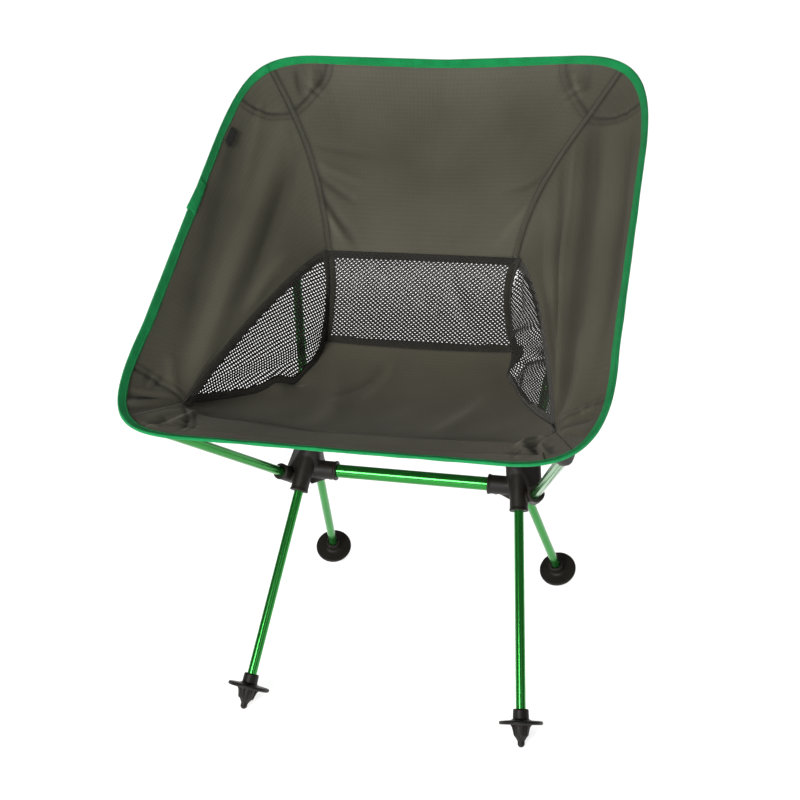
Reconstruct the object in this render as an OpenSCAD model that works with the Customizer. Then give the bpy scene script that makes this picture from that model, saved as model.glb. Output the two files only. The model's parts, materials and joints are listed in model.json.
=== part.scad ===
// Ultralight backpacking chair: two moulded hubs on a crossbar carry four legs, two front arms
// and two back poles, and a sewn sling seat hangs from the four pole tips.
// Frame: +Z up, floor at z = 0, the sitter faces -Y. Left and right are as seen from in front,
// so a right-hand part has x > 0.

/* [Tubes] */
// Outer diameter of the leg, arm and pole tubes
tube_d = 11; // [9:0.5:13]
// Wall of the leg, arm and pole tubes
tube_wall = 1; // [0.8:0.1:1.4]
// Outer diameter of the crossbar
bar_d = 16; // [14:0.5:18]
// Wall of the crossbar
bar_wall = 1.2; // [1:0.1:1.6]
// Height of the crossbar's axis over the floor
bar_z = 223; // [210:1:240]
// Diameter of the shock cord
cord_d = 2.5; // [2:0.1:3]

/* [Hubs] */
// Half the distance between the mouths of the two crossbar sockets
bar_mouth_x = 92; // [85:1:96]
// Outer diameter of the tube sockets
socket_d = 21; // [19:0.5:22]
// Outer diameter of the crossbar socket
bar_socket_d = 23; // [21:0.5:25]
// Depth of each tube socket
socket_depth = 30; // [25:1:31]
// Radial clearance of a tube in its socket
socket_fit = 0.05; // [0.03:0.01:0.1]

/* [Feet] */
// Half the distance between the front feet
front_foot_x = 161.5; // [150:0.5:175]
// How far the front feet stand forward of the crossbar
front_foot_reach = 183; // [170:1:195]
// Half the distance between the rear feet
rear_foot_x = 159.5; // [150:0.5:175]
// How far the rear feet stand behind the crossbar
rear_foot_reach = 168; // [155:1:180]
// Diameter of a foot's disc
disc_d = 48.5; // [40:0.5:56]
// Radius of the rounded point under each disc
foot_tip_r = 4; // [3:0.5:5]

/* [Sling seat] */
// Half the width over the side edges
side_x = 248; // [236:1:260]
// Height of the top edge
top_z = 676; // [660:1:690]
// Height of the front edge
front_z = 379; // [370:1:388]
// Thickness of a fabric panel
cloth = 1.2; // [0.8:0.1:1.6]
// Width of the binding tape on each face
binding_w = 11; // [9:0.5:13]
// Steps along and across each panel
steps = 14; // [8:2:18]

/* [Hidden] */
$fn = 48;

tube_r = tube_d / 2;
bore_r = tube_r + socket_fit;
inner_r = tube_r - tube_wall;
bar_r = bar_d / 2;
bar_y = 28.1;
bar_end_x = bar_mouth_x + 26;
cord_r = cord_d / 2;

green = [0.18, 0.62, 0.25];
black = [0.11, 0.10, 0.09];
grey = [0.31, 0.30, 0.26];
dark = [0.17, 0.16, 0.14];
silver = [0.7, 0.7, 0.7];

// ---- small vector and curve functions ----
function unit(v) = v / norm(v);
function mix(a, b, t) = a * (1 - t) + b * t;
function quad(a, b, c, t) = a * pow(1 - t, 2) + b * 2 * t * (1 - t) + c * pow(t, 2);
function cubic(a, b, c, d, t) =
  a * pow(1 - t, 3) + b * 3 * t * pow(1 - t, 2) + c * 3 * pow(t, 2) * (1 - t) + d * pow(t, 3);
function flip(p) = [-p.x, p.y, p.z];

// ---- axes of the frame members, right-hand side (x > 0) ----
// Each axis is [point, direction]; distances along it are measured from the point.
front_foot_pt = [front_foot_x, bar_y - front_foot_reach, foot_tip_r];
rear_foot_pt = [rear_foot_x, bar_y + rear_foot_reach, foot_tip_r];
front_leg_pt = [127.6, bar_y, bar_z + 20];
rear_leg_pt = [120.4, bar_y, bar_z + 32.5];
front_leg_dir = unit(front_foot_pt - front_leg_pt);
rear_leg_dir = unit(rear_foot_pt - rear_leg_pt);
front_leg_len = norm(front_foot_pt - front_leg_pt);
rear_leg_len = norm(rear_foot_pt - rear_leg_pt);
front_leg_mouth = 47;
rear_leg_mouth = 45;
arm_mouth_pt = [153, bar_y - 32.4, bar_z + 9.9];
arm_dir = unit([0.203, -0.799, 0.566]);
arm_len = 268;
pole_base_pt = [138.5, bar_y + 30, bar_z + 29];
pole_top_pt = [202, bar_y + 206, bar_z + 421];
pole_dir = unit(pole_top_pt - pole_base_pt);
pole_len = norm(pole_top_pt - pole_base_pt);
pole_split = pole_len * 0.52;

function on_front_leg(s) = front_leg_pt + front_leg_dir * s;
function on_rear_leg(s) = rear_leg_pt + rear_leg_dir * s;
function on_arm(s) = arm_mouth_pt + arm_dir * s;
function on_pole(s) = pole_base_pt + pole_dir * s;

// Points inside the hub that the cords bend at.
leg_cross_pt = mix(front_leg_pt, rear_leg_pt, 0.5);
front_leg_top = on_front_leg(front_leg_mouth - socket_depth);
rear_leg_top = on_rear_leg(rear_leg_mouth - socket_depth);
arm_cord_pt = on_arm(-socket_depth - 2);
pole_cord_pt = on_pole(-2);

module aim(p, d) {
  translate(p) rotate([0, acos(d.z), atan2(d.y, d.x)]) children();
}

module rod(a, b, r) {
  aim(a, unit(b - a)) cylinder(r = r, h = norm(b - a));
}

module pipe(a, b, r_out, r_in) {
  aim(a, unit(b - a)) difference() {
    cylinder(r = r_out, h = norm(b - a));
    translate([0, 0, -1]) cylinder(r = r_in, h = norm(b - a) + 2);
  }
}

module left() {
  mirror([1, 0, 0]) children();
}

// ---- crossbar ----
module crossbar() {
  pin_r = 1.55;
  color(green) difference() {
    translate([-bar_end_x + 0.5, bar_y, bar_z]) rotate([0, 90, 0]) difference() {
      cylinder(r = bar_r, h = 2 * bar_end_x - 1);
      translate([0, 0, -1]) cylinder(r = bar_r - bar_wall, h = 2 * bar_end_x + 2);
    }
    for (side = [-1, 1])
      translate([side * pin_x, bar_y, bar_z - bar_r - 2]) cylinder(r = pin_r, h = 6);
  }
}

pin_x = bar_mouth_x + 9;

module crossbar_pins() {
  pin_bottom = bar_z - bar_socket_d / 2 - 0.4;
  color(silver) for (side = [-1, 1])
    translate([side * pin_x, bar_y, pin_bottom]) {
      cylinder(r = 1.5, h = bar_socket_d / 2 - bar_r + bar_wall + 0.9);
      translate([0, 0, -0.6]) cylinder(r = 2.4, h = 0.9);
    }
}

// ---- hub ----
module socket(a, d, len, r, lip) {
  aim(a, d) {
    cylinder(r = r, h = len);
    translate([0, 0, len - 3.5]) cylinder(r1 = r - 0.01, r2 = r + lip, h = 2);
    translate([0, 0, len - 1.5]) cylinder(r = r + lip, h = 1.5);
  }
}

module gusset(a, b, c, t) {
  hull() for (p = [a, b, c]) translate(p) sphere(d = t, $fn = 20);
}

module hub_solid() {
  r = socket_d / 2;
  arm_socket_r = r - 1.2;
  translate([bar_mouth_x, bar_y, bar_z]) rotate([0, 90, 0]) {
    cylinder(r = bar_socket_d / 2 - 0.4, h = 34);
    cylinder(r = bar_socket_d / 2 + 0.5, h = 2.5);
  }
  socket(on_front_leg(-14), front_leg_dir, front_leg_mouth + 14, r, 0.7);
  socket(on_rear_leg(-4), rear_leg_dir, rear_leg_mouth + 4, r - 0.5, 0.7);
  socket(on_arm(-socket_depth - 6), arm_dir, socket_depth + 6, arm_socket_r, 0.6);
  socket(on_pole(-12), pole_dir, socket_depth + 14, r - 0.3, 0.6);
  hull() {
    translate(leg_cross_pt + [1, 2, -3]) sphere(r = 12.5, $fn = 32);
    translate(on_arm(-socket_depth + 1)) sphere(r = 9.6, $fn = 32);
    translate(on_pole(-3)) sphere(r = 10.8, $fn = 32);
    translate([124, bar_y, bar_z + 4]) sphere(r = 10.4, $fn = 32);
  }
  gusset([103, bar_y, bar_z - 8], [124, bar_y - 4, bar_z - 16], [128, bar_y, bar_z], 5);
  gusset(on_arm(-9) + [-4, 2, -5], on_front_leg(38), on_front_leg(22), 6);
  gusset(on_rear_leg(36), on_front_leg(30), leg_cross_pt, 6);
  gusset(on_pole(16) - [2, 4, 0], on_front_leg(-8), leg_cross_pt, 7);
}

// Passage that a cord runs through, a little wider at its bends.
module channel(points, r) {
  for (i = [0:len(points) - 2]) rod(points[i], points[i + 1], r);
  for (i = [1:len(points) - 2]) translate(points[i]) sphere(r = r + 0.3);
}

module hub_holes() {
  channel_r = 2.2;
  translate([bar_mouth_x - 1, bar_y, bar_z]) rotate([0, 90, 0])
    cylinder(r = bar_r + socket_fit, h = bar_end_x - bar_mouth_x + 1);
  rod(on_front_leg(front_leg_mouth - socket_depth), on_front_leg(front_leg_mouth + 2), bore_r);
  rod(on_rear_leg(rear_leg_mouth - socket_depth), on_rear_leg(rear_leg_mouth + 2), bore_r);
  rod(on_arm(-socket_depth), on_arm(2), bore_r);
  rod(on_pole(0), on_pole(socket_depth + 4), bore_r);
  channel([front_leg_top + front_leg_dir, leg_cross_pt, rear_leg_top + rear_leg_dir], channel_r);
  channel([on_arm(-socket_depth + 1), arm_cord_pt, pole_cord_pt, on_pole(1)], channel_r);
  translate([pin_x, bar_y, bar_z - bar_socket_d]) cylinder(r = 1.55, h = bar_socket_d);
}

module hub() {
  color(black) difference() {
    hub_solid();
    hub_holes();
  }
}

// ---- legs and feet ----
disc_back = 22;
foot_bore = 16;

module foot_profile() {
  rotate_extrude() polygon([
    [0, -10], [disc_d / 2 - 1, -10], [disc_d / 2, -9], [disc_d / 2, -7],
    [disc_d / 2 - 1, -6], [12, -5.2], [9, -4], [8.7, 6], [8, 7], [0, 7]
  ]);
}

module foot_body() {
  // Local frame: +Z runs up the leg, the disc's middle is at z = -8 and the collar above it.
  foot_profile();
  translate([0, 0, -disc_back]) {
    translate([0, 0, 0]) cylinder(r1 = 7.4, r2 = 8.8, h = 12.5);
    translate([0, 0, -5]) cylinder(r1 = foot_tip_r, r2 = 7.4, h = 5);
  }
  for (k = [0:5]) rotate([0, 0, 60 * k])
    translate([0, 0.9, 0]) rotate([90, 0, 0]) linear_extrude(1.8)
      polygon([[6, -9.5], [13.8, -9.5], [11.2, -13], [9.8, -18], [8.9, -22], [6, -22]]);
}

module foot(axis_pt, dir, len) {
  // The rounded point touches the floor, and everything above it lies along the leg's axis.
  up = -dir;
  tip = axis_pt + dir * len;
  disc_at = tip + up * (disc_back + 8);
  color(black) difference() {
    union() {
      aim(disc_at, up) foot_body();
      translate(tip) sphere(r = foot_tip_r);
      rod(tip, tip + up * 4, foot_tip_r - 0.05);
    }
    aim(disc_at, up) translate([0, 0, -9]) cylinder(r = bore_r, h = 30);
    aim(disc_at, up) translate([0, 0, -foot_bore]) cylinder(r = 4, h = 20);
  }
}

module leg(axis_pt, dir, mouth, len) {
  top = axis_pt + dir * (mouth - socket_depth);
  bottom = axis_pt + dir * (len - disc_back + 1);
  color(green) pipe(top, bottom, tube_r, inner_r);
}

module leg_stop(axis_pt, dir, len) {
  // Washer in the tube's lower end that the cord's knot bears on.
  at = axis_pt + dir * (len - disc_back - 2);
  color(black) pipe(at, at + dir * 2, inner_r - 0.05, cord_r + 0.35);
}

// ---- arms and back poles ----
module front_arm() {
  color(green) pipe(on_arm(-socket_depth), on_arm(arm_len), tube_r, inner_r);
}

module back_pole_lower() {
  color(green) pipe(on_pole(0), on_pole(pole_split), tube_r, inner_r);
}

module back_pole_upper() {
  color(green) pipe(on_pole(pole_split), on_pole(pole_len - 8), tube_r, inner_r);
}

module ferrule() {
  color(silver)
    pipe(on_pole(pole_split - 28), on_pole(pole_split + 28), inner_r - 0.05, inner_r - 1);
}

module end_tip(p, d) {
  // Moulded cap on a tube's end with a plug inside it; the cord's knot sits under the plug.
  color(black) aim(p, d) difference() {
    rotate_extrude() polygon([
      [0, -14], [inner_r - 0.05, -14], [inner_r - 0.05, 0.1], [tube_r + 0.8, 0.1],
      [tube_r + 1, 1], [tube_r + 1, 5], [tube_r - 0.6, 8], [2.5, 9], [0, 9]
    ]);
    translate([0, 0, -15]) cylinder(r = cord_r + 0.2, h = 9);
  }
}

// ---- shock cords ----
module cord_path(points) {
  color(dark) {
    for (i = [0:len(points) - 2]) rod(points[i], points[i + 1], cord_r);
    if (len(points) > 2)
      for (i = [1:len(points) - 2]) translate(points[i]) sphere(r = cord_r + 0.1);
  }
}

module leg_cord() {
  knot_front = front_leg_len - disc_back + 3;
  knot_rear = rear_leg_len - disc_back + 3;
  cord_path([on_front_leg(knot_front), front_leg_top, leg_cross_pt, rear_leg_top,
             on_rear_leg(knot_rear)]);
  color(dark) translate(on_front_leg(knot_front)) sphere(r = 2.4);
  color(dark) translate(on_rear_leg(knot_rear)) sphere(r = 2.4);
}

module pole_cord() {
  cord_path([on_arm(arm_len - 7), arm_cord_pt, pole_cord_pt, on_pole(pole_len - 15)]);
}

// ---- sling seat: edge and seam curves, right-hand side ----
top_y = bar_y + 224;
front_y = bar_y - 257;
top_mid = [0, top_y + 2, top_z - 3];
top_a = [154, top_y - 9, top_z + 3];
top_b = [side_x - 22, top_y - 24, top_z + 8];
top_c = [side_x - 1, top_y - 34, top_z - 14];
top_d = [side_x + 1, top_y - 124, top_z - 69];
low_a = [side_x - 2, front_y + 106, front_z + 76];
low_b = [side_x + 5, front_y - 6, front_z + 10];
low_c = [side_x - 42, front_y - 48, front_z + 23];
low_d = [142, front_y - 17, front_z + 9];
low_e = [94, front_y + 3, front_z - 1];
low_mid = [0, front_y, front_z];

pt_c = [114, bar_y + 75.5, 475];
pt_d = [116, bar_y + 51, 369];
pt_e = [193, bar_y - 188, 385];

// Rim, from the middle of the top edge (t = 0) by the side to the middle of the front (t = 5).
function rim(t) =
  t < 1 ? mix(top_mid, top_a, t)
  : t < 2 ? cubic(top_a, top_b, top_c, top_d, t - 1)
  : t < 3 ? mix(top_d, low_a, t - 2)
  : t < 4 ? cubic(low_a, low_b, low_c, low_d, t - 3)
  : quad(low_d, low_e, low_mid, t - 4);
rim_at_a = 1.4;
rim_at_f = 3.5;

// Seams: back panel to side panel, side panel to side mesh, seat to side mesh, mesh to mesh.
function seam(t) =
  cubic(pt_c, [129, bar_y + 101, 563], [168, bar_y + 176, 590], rim(rim_at_a), t);
function hypot(t) = cubic(pt_c, [134, bar_y + 62, 471], [178, bar_y - 96, 427], pt_e, t);
function lower(t) = cubic(pt_d, [103, bar_y - 13, 322], [208, bar_y - 131, 361], pt_e, t);
function upright(t) = quad(pt_d, [99, bar_y + 50, 444], pt_c, t);
function mesh_top(x) = [x * pt_c.x, pt_c.y + 8 * (1 - x * x), pt_c.z - 2 * (1 - x * x)];
function mesh_foot(x) = [x * pt_d.x, pt_d.y + 8 * (1 - x * x), pt_d.z - 6 * (1 - x * x)];
e_share = 0.78;
function seat_side(t) =
  t < e_share ? lower(t / e_share) : mix(pt_e, rim(rim_at_f), (t - e_share) / (1 - e_share));
function mirrored(x, f) = x < 0 ? flip(f(-x)) : f(x);

// ---- panels as surfaces S(u, v) with u and v from 0 to 1 ----
function coons(c0, c1, d0, d1, u, v) =
  mix(c0(u), c1(u), v) + mix(d0(v), d1(v), u)
  - mix(mix(c0(0), c0(1), u), mix(c1(0), c1(1), u), v);
function bulge(u, v) = 16 * u * (1 - u) * v * (1 - v);

back_surface = function(u, v) coons(
  function(s) mesh_top(2 * s - 1),
  function(s) mirrored(2 * s - 1, function(x) rim(x * rim_at_a)),
  function(s) flip(seam(s)),
  function(s) seam(s), u, v) + [0, 9, -4] * bulge(u, v);
side_surface = function(u, v) coons(
  function(s) hypot(s),
  function(s) rim(rim_at_a + s * (rim_at_f - rim_at_a)),
  function(s) seam(s),
  function(s) mix(pt_e, rim(rim_at_f), s), u, v) + [4, 2, -5] * bulge(u, v);
seat_surface = function(u, v) coons(
  function(s) mesh_foot(2 * s - 1),
  function(s) mirrored(2 * s - 1, function(x) rim(5 - x * (5 - rim_at_f))),
  function(s) flip(seat_side(s)),
  function(s) seat_side(s), u, v) + [0, 0, -8] * bulge(u, v);
back_mesh_surface = function(u, v) coons(
  function(s) mesh_foot(2 * s - 1),
  function(s) mesh_top(2 * s - 1),
  function(s) flip(upright(s)),
  function(s) upright(s), u, v);
side_mesh_surface = function(u, v) coons(
  function(s) lower(s),
  function(s) hypot(s),
  function(s) upright(s),
  function(s) pt_e, u, v) + [4, 0, -3] * bulge(u, v);

function normal(f, u, v) =
  let (e = 0.004, u0 = max(u - e, 0), u1 = min(u + e, 0.999), v0 = max(v - e, 0), v1 = min(v + e, 1))
  unit(cross(f(u1, v) - f(u0, v), f(min(u, 0.985), v1) - f(min(u, 0.985), v0)));

// Closed sheet over u0..u1 and v0..v1 of a surface, from lift to lift + thick along its normal.
module sheet(f, u0, u1, v0, v1, nu, nv, lift, thick) {
  row = nv + 1;
  layer = (nu + 1) * row;
  function us(i) = u0 + (u1 - u0) * i / nu;
  function vs(j) = v0 + (v1 - v0) * j / nv;
  points = [for (h = [lift, lift + thick], i = [0:nu], j = [0:nv])
    f(us(i), vs(j)) + normal(f, us(i), vs(j)) * h];
  function at(k, i, j) = k * layer + i * row + j;
  faces = concat(
    [for (i = [0:nu - 1], j = [0:nv - 1]) each [
      [at(0, i, j), at(0, i + 1, j), at(0, i, j + 1)],
      [at(0, i, j + 1), at(0, i + 1, j), at(0, i + 1, j + 1)],
      [at(1, i, j), at(1, i, j + 1), at(1, i + 1, j)],
      [at(1, i, j + 1), at(1, i + 1, j + 1), at(1, i + 1, j)]]],
    [for (i = [0:nu - 1]) each [
      [at(0, i, 0), at(1, i, 0), at(0, i + 1, 0)], [at(1, i, 0), at(1, i + 1, 0), at(0, i + 1, 0)],
      [at(0, i, nv), at(0, i + 1, nv), at(1, i, nv)],
      [at(1, i, nv), at(0, i + 1, nv), at(1, i + 1, nv)]]],
    [for (j = [0:nv - 1]) each [
      [at(0, 0, j), at(0, 0, j + 1), at(1, 0, j)], [at(1, 0, j), at(0, 0, j + 1), at(1, 0, j + 1)],
      [at(0, nu, j), at(1, nu, j), at(0, nu, j + 1)],
      [at(1, nu, j), at(1, nu, j + 1), at(0, nu, j + 1)]]]);
  polyhedron(points, faces);
}

// Gap left along each edge of a panel, where the seam's stitching runs.
seam_gap = 0.8;

module panel(f, wide, tall) {
  du = seam_gap / wide;
  dv = seam_gap / tall;
  sheet(f, du, 1 - du, dv, 1 - dv, steps, steps, -cloth / 2, cloth);
}

module seat_panel() { color(grey) panel(seat_surface, 230, 300); }
module back_panel() { color(grey) panel(back_surface, 230, 220); }
module side_panel() { color(grey) panel(side_surface, 300, 60); }
module back_mesh() { color(dark) panel(back_mesh_surface, 225, 100); }
module side_mesh() {
  color(dark) sheet(side_mesh_surface, 0.01, 0.97, 0.012, 0.988, steps, steps, -cloth / 2, cloth);
}

tape_t = 0.7;
tape_lift = cloth / 2 + 0.1;

module front_hem() {
  lift = cloth / 2 + 0.6;
  color(grey) sheet(seat_surface, 0.1, 0.9, 0.9, 0.985, steps, 2, -lift - tape_t, tape_t);
}

module mesh_tape_back() {
  color(dark) {
    sheet(back_mesh_surface, 0.02, 0.98, 0.02, 0.1, steps, 1, tape_lift, tape_t);
    sheet(back_mesh_surface, 0.02, 0.98, 0.9, 0.98, steps, 1, tape_lift, tape_t);
  }
}

module mesh_tape_side() {
  color(dark) {
    sheet(side_mesh_surface, 0.03, 0.9, 0.9, 0.98, steps, 1, tape_lift, tape_t);
    sheet(side_mesh_surface, 0.03, 0.9, 0.02, 0.1, steps, 1, tape_lift, tape_t);
  }
}

module seam_tape() {
  color(dark) sheet(side_surface, 0.012, 0.045, 0.05, 0.93, 1, steps, -tape_lift - tape_t, tape_t);
}

// ---- binding tape folded over the whole rim ----
binding_t = 3.4;
slot_t = 1.8;
slot_w = binding_w - 2.4;

// Cross-section of the fold: [distance in from the edge, height over the cloth's middle].
fold = [
  [0, -binding_t / 2 + 0.6], [0, binding_t / 2 - 0.6], [0.8, binding_t / 2],
  [binding_w, binding_t / 2], [binding_w, slot_t / 2], [binding_w - slot_w, slot_t / 2],
  [binding_w - slot_w, -slot_t / 2], [binding_w, -slot_t / 2], [binding_w, -binding_t / 2],
  [0.8, -binding_t / 2]
];

function edge_frame(f, u) =
  let (p = f(u, 1), inward = unit(f(u, 0.97) - p), n = normal(f, u, 1)) [p, inward, n];

function fold_ring(fr) = [for (q = fold) fr[0] + fr[1] * (q.x - 0.4) + fr[2] * q.y];
function flip_frame(fr) = [flip(fr[0]), flip(fr[1]), fr[2] - [2 * fr[2].x, 0, 0]];

module edge_binding() {
  n_top = 26;
  n_side = 34;
  n_front = 26;
  // Once round the rim: along the top to the right, down the right side, back along the front
  // to the left, and up the left side.
  top_run = [for (i = [1:n_top - 1]) edge_frame(back_surface, i / n_top)];
  side_run = [for (i = [1:n_side - 1]) edge_frame(side_surface, i / n_side)];
  front_run = [for (i = [1:n_front - 1]) edge_frame(seat_surface, 1 - i / n_front)];
  // The seat's normal points down, away from the sitter, so it is turned to match the others.
  frames = concat(
    top_run,
    side_run,
    [for (fr = front_run) [fr[0], fr[1], -fr[2]]],
    [for (i = [len(side_run) - 1:-1:0]) flip_frame(side_run[i])]);
  rings = [for (fr = frames) fold_ring(fr)];
  m = len(fold);
  count = len(rings);
  points = [for (r = rings) each r];
  faces = [for (i = [0:count - 1], j = [0:m - 1]) each
    let (a = i * m + j, b = i * m + (j + 1) % m,
         c = ((i + 1) % count) * m + j, d = ((i + 1) % count) * m + (j + 1) % m)
    [[a, c, b], [c, d, b]]];
  color(green) polyhedron(points, faces);
}

// ---- corner pockets that the tube ends sit in ----
module pocket(p, d, length) {
  r_in = tube_r + 1.6;
  r_out = r_in + 1;
  color(dark) aim(p, d) rotate_extrude() polygon([
    [r_in, -length], [r_out + 1, -length], [r_out, -length + 8], [r_out, 5.8], [4.6, 11.6],
    [0, 11.6], [0, 10.4], [4.2, 10.4], [r_in, 5.2]
  ]);
}

module arm_pocket() { pocket(on_arm(arm_len), arm_dir, 20); }
module pole_pocket() { pocket(on_pole(pole_len - 8), pole_dir, 40); }

module side_tag() {
  // Blank cloth label sewn in beside the binding of the left edge.
  tag_at = 0.245;
  color(black) left()
    sheet(side_surface, tag_at, tag_at + 0.045, 0.74, 0.9, 2, 2, cloth / 2 + 0.9, 0.8);
}

crossbar();
crossbar_pins();
left() hub();  // hub_left
hub();  // hub_right
left() leg(front_leg_pt, front_leg_dir, front_leg_mouth, front_leg_len);  // front_leg_left
leg(front_leg_pt, front_leg_dir, front_leg_mouth, front_leg_len);  // front_leg_right
left() leg(rear_leg_pt, rear_leg_dir, rear_leg_mouth, rear_leg_len);  // rear_leg_left
leg(rear_leg_pt, rear_leg_dir, rear_leg_mouth, rear_leg_len);  // rear_leg_right
left() foot(front_leg_pt, front_leg_dir, front_leg_len);  // front_foot_left
foot(front_leg_pt, front_leg_dir, front_leg_len);  // front_foot_right
left() foot(rear_leg_pt, rear_leg_dir, rear_leg_len);  // rear_foot_left
foot(rear_leg_pt, rear_leg_dir, rear_leg_len);  // rear_foot_right
left() leg_stop(front_leg_pt, front_leg_dir, front_leg_len);  // front_leg_stop_left
leg_stop(front_leg_pt, front_leg_dir, front_leg_len);  // front_leg_stop_right
left() leg_stop(rear_leg_pt, rear_leg_dir, rear_leg_len);  // rear_leg_stop_left
leg_stop(rear_leg_pt, rear_leg_dir, rear_leg_len);  // rear_leg_stop_right
left() front_arm();  // front_arm_left
front_arm();  // front_arm_right
left() back_pole_lower();  // back_pole_lower_left
back_pole_lower();  // back_pole_lower_right
left() back_pole_upper();  // back_pole_upper_left
back_pole_upper();  // back_pole_upper_right
left() ferrule();  // ferrule_left
ferrule();  // ferrule_right
left() end_tip(on_arm(arm_len), arm_dir);  // arm_tip_left
end_tip(on_arm(arm_len), arm_dir);  // arm_tip_right
left() end_tip(on_pole(pole_len - 8), pole_dir);  // pole_tip_left
end_tip(on_pole(pole_len - 8), pole_dir);  // pole_tip_right
left() leg_cord();  // leg_cord_left
leg_cord();  // leg_cord_right
left() pole_cord();  // pole_cord_left
pole_cord();  // pole_cord_right
seat_panel();
back_panel();
left() side_panel();  // side_panel_left
side_panel();  // side_panel_right
back_mesh();
left() side_mesh();  // side_mesh_left
side_mesh();  // side_mesh_right
front_hem();
mesh_tape_back();
left() mesh_tape_side();  // mesh_tape_left
mesh_tape_side();  // mesh_tape_right
left() seam_tape();  // seam_tape_left
seam_tape();  // seam_tape_right
edge_binding();
left() arm_pocket();  // arm_pocket_left
arm_pocket();  // arm_pocket_right
left() pole_pocket();  // pole_pocket_left
pole_pocket();  // pole_pocket_right
side_tag();
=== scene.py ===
"""Looks of the ultralight backpacking chair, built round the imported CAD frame. Metres, +Z up."""

import json
import math

import bmesh
import bpy
import numpy as np
from mathutils import Matrix, Vector
from mathutils.bvhtree import BVHTree


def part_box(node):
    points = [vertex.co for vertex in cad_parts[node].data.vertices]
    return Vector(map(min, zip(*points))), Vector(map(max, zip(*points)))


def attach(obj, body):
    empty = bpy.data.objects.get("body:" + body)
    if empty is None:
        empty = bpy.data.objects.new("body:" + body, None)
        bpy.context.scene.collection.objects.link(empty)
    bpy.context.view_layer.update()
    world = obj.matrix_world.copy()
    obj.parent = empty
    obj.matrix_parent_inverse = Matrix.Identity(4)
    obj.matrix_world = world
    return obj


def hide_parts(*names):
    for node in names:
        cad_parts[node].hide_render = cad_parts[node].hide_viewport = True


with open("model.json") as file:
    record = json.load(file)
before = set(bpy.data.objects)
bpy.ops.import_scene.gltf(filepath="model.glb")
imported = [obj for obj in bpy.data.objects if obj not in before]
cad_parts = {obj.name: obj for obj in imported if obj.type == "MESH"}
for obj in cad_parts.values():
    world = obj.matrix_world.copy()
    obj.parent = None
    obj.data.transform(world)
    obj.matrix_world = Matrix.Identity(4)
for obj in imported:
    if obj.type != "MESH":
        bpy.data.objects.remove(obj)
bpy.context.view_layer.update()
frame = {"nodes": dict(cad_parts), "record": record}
SEAT = "seat_cover"
LEFT, RIGHT = -1, 1

# ---- camera, at the viewing angle ----
CAMERA_AT = Vector((0.3220, -1.2026, 0.8716))
YAW, PITCH, ROLL = (math.radians(a) for a in (15.14, 23.32, 2.05))
LENS_MM = 54.03


def place(obj):
    bpy.context.scene.collection.objects.link(obj)
    return obj


def make_camera():
    forward = Vector((-math.sin(YAW) * math.cos(PITCH), math.cos(YAW) * math.cos(PITCH),
                      -math.sin(PITCH)))
    level = Vector((math.cos(YAW), math.sin(YAW), 0))
    down = forward.cross(level)
    across = math.cos(ROLL) * level + math.sin(ROLL) * down
    up = math.sin(ROLL) * level - math.cos(ROLL) * down
    turn = Matrix((across, up, -forward)).transposed()
    data = bpy.data.cameras.new("camera")
    data.lens = LENS_MM
    data.sensor_width = 36
    data.clip_start = 0.05
    data.clip_end = 100
    cam = bpy.data.objects.new("camera", data)
    cam.matrix_world = Matrix.Translation(CAMERA_AT) @ turn.to_4x4()
    bpy.context.scene.camera = place(cam)


make_camera()

# ---- curves of the sling seat, restated from the CAD source, right-hand side ----
MM = 0.001
bar_lo, bar_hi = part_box("crossbar")
BAR_Y = (bar_lo.y + bar_hi.y) / 2


def pt(x, y, z):
    """A point from millimetres, with y counted from the crossbar."""
    return np.array([x * MM, BAR_Y + y * MM, z * MM])


SIDE_X, TOP_Y, TOP_Z, FRONT_Y, FRONT_Z = 248, 224, 676, -257, 379
TOP_MID = pt(0, TOP_Y + 2, TOP_Z - 3)
TOP_A = pt(154, TOP_Y - 9, TOP_Z + 3)
TOP_B = pt(SIDE_X - 22, TOP_Y - 24, TOP_Z + 8)
TOP_C = pt(SIDE_X - 1, TOP_Y - 34, TOP_Z - 14)
TOP_D = pt(SIDE_X + 1, TOP_Y - 124, TOP_Z - 69)
LOW_A = pt(SIDE_X - 2, FRONT_Y + 106, FRONT_Z + 76)
LOW_B = pt(SIDE_X + 5, FRONT_Y - 6, FRONT_Z + 10)
LOW_C = pt(SIDE_X - 42, FRONT_Y - 48, FRONT_Z + 23)
LOW_D = pt(142, FRONT_Y - 17, FRONT_Z + 9)
LOW_E = pt(94, FRONT_Y + 3, FRONT_Z - 1)
LOW_MID = pt(0, FRONT_Y, FRONT_Z)
PT_C = pt(114, 75.5, 475)
PT_D = pt(116, 51, 369)
PT_E = pt(193, -188, 385)
RIM_AT_A, RIM_AT_F, E_SHARE = 1.4, 3.5, 0.78
FLIP = np.array([-1.0, 1.0, 1.0])
TURN = {LEFT: FLIP, RIGHT: 1}


def col(t):
    return np.asarray(t, float)[..., None]


def mix(a, b, t):
    return a * (1 - t) + b * t


def quad(a, b, c, t):
    return a * (1 - t) ** 2 + b * 2 * t * (1 - t) + c * t ** 2


def cubic(a, b, c, d, t):
    return a * (1 - t) ** 3 + b * 3 * t * (1 - t) ** 2 + c * 3 * t ** 2 * (1 - t) + d * t ** 3


def rim(t):
    t = col(t)
    return np.where(
        t < 1, mix(TOP_MID, TOP_A, t), np.where(
            t < 2, cubic(TOP_A, TOP_B, TOP_C, TOP_D, t - 1), np.where(
                t < 3, mix(TOP_D, LOW_A, t - 2), np.where(
                    t < 4, cubic(LOW_A, LOW_B, LOW_C, LOW_D, t - 3),
                    quad(LOW_D, LOW_E, LOW_MID, t - 4)))))


def seam(t):
    return cubic(PT_C, pt(129, 101, 563), pt(168, 176, 590), rim(RIM_AT_A), col(t))


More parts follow.
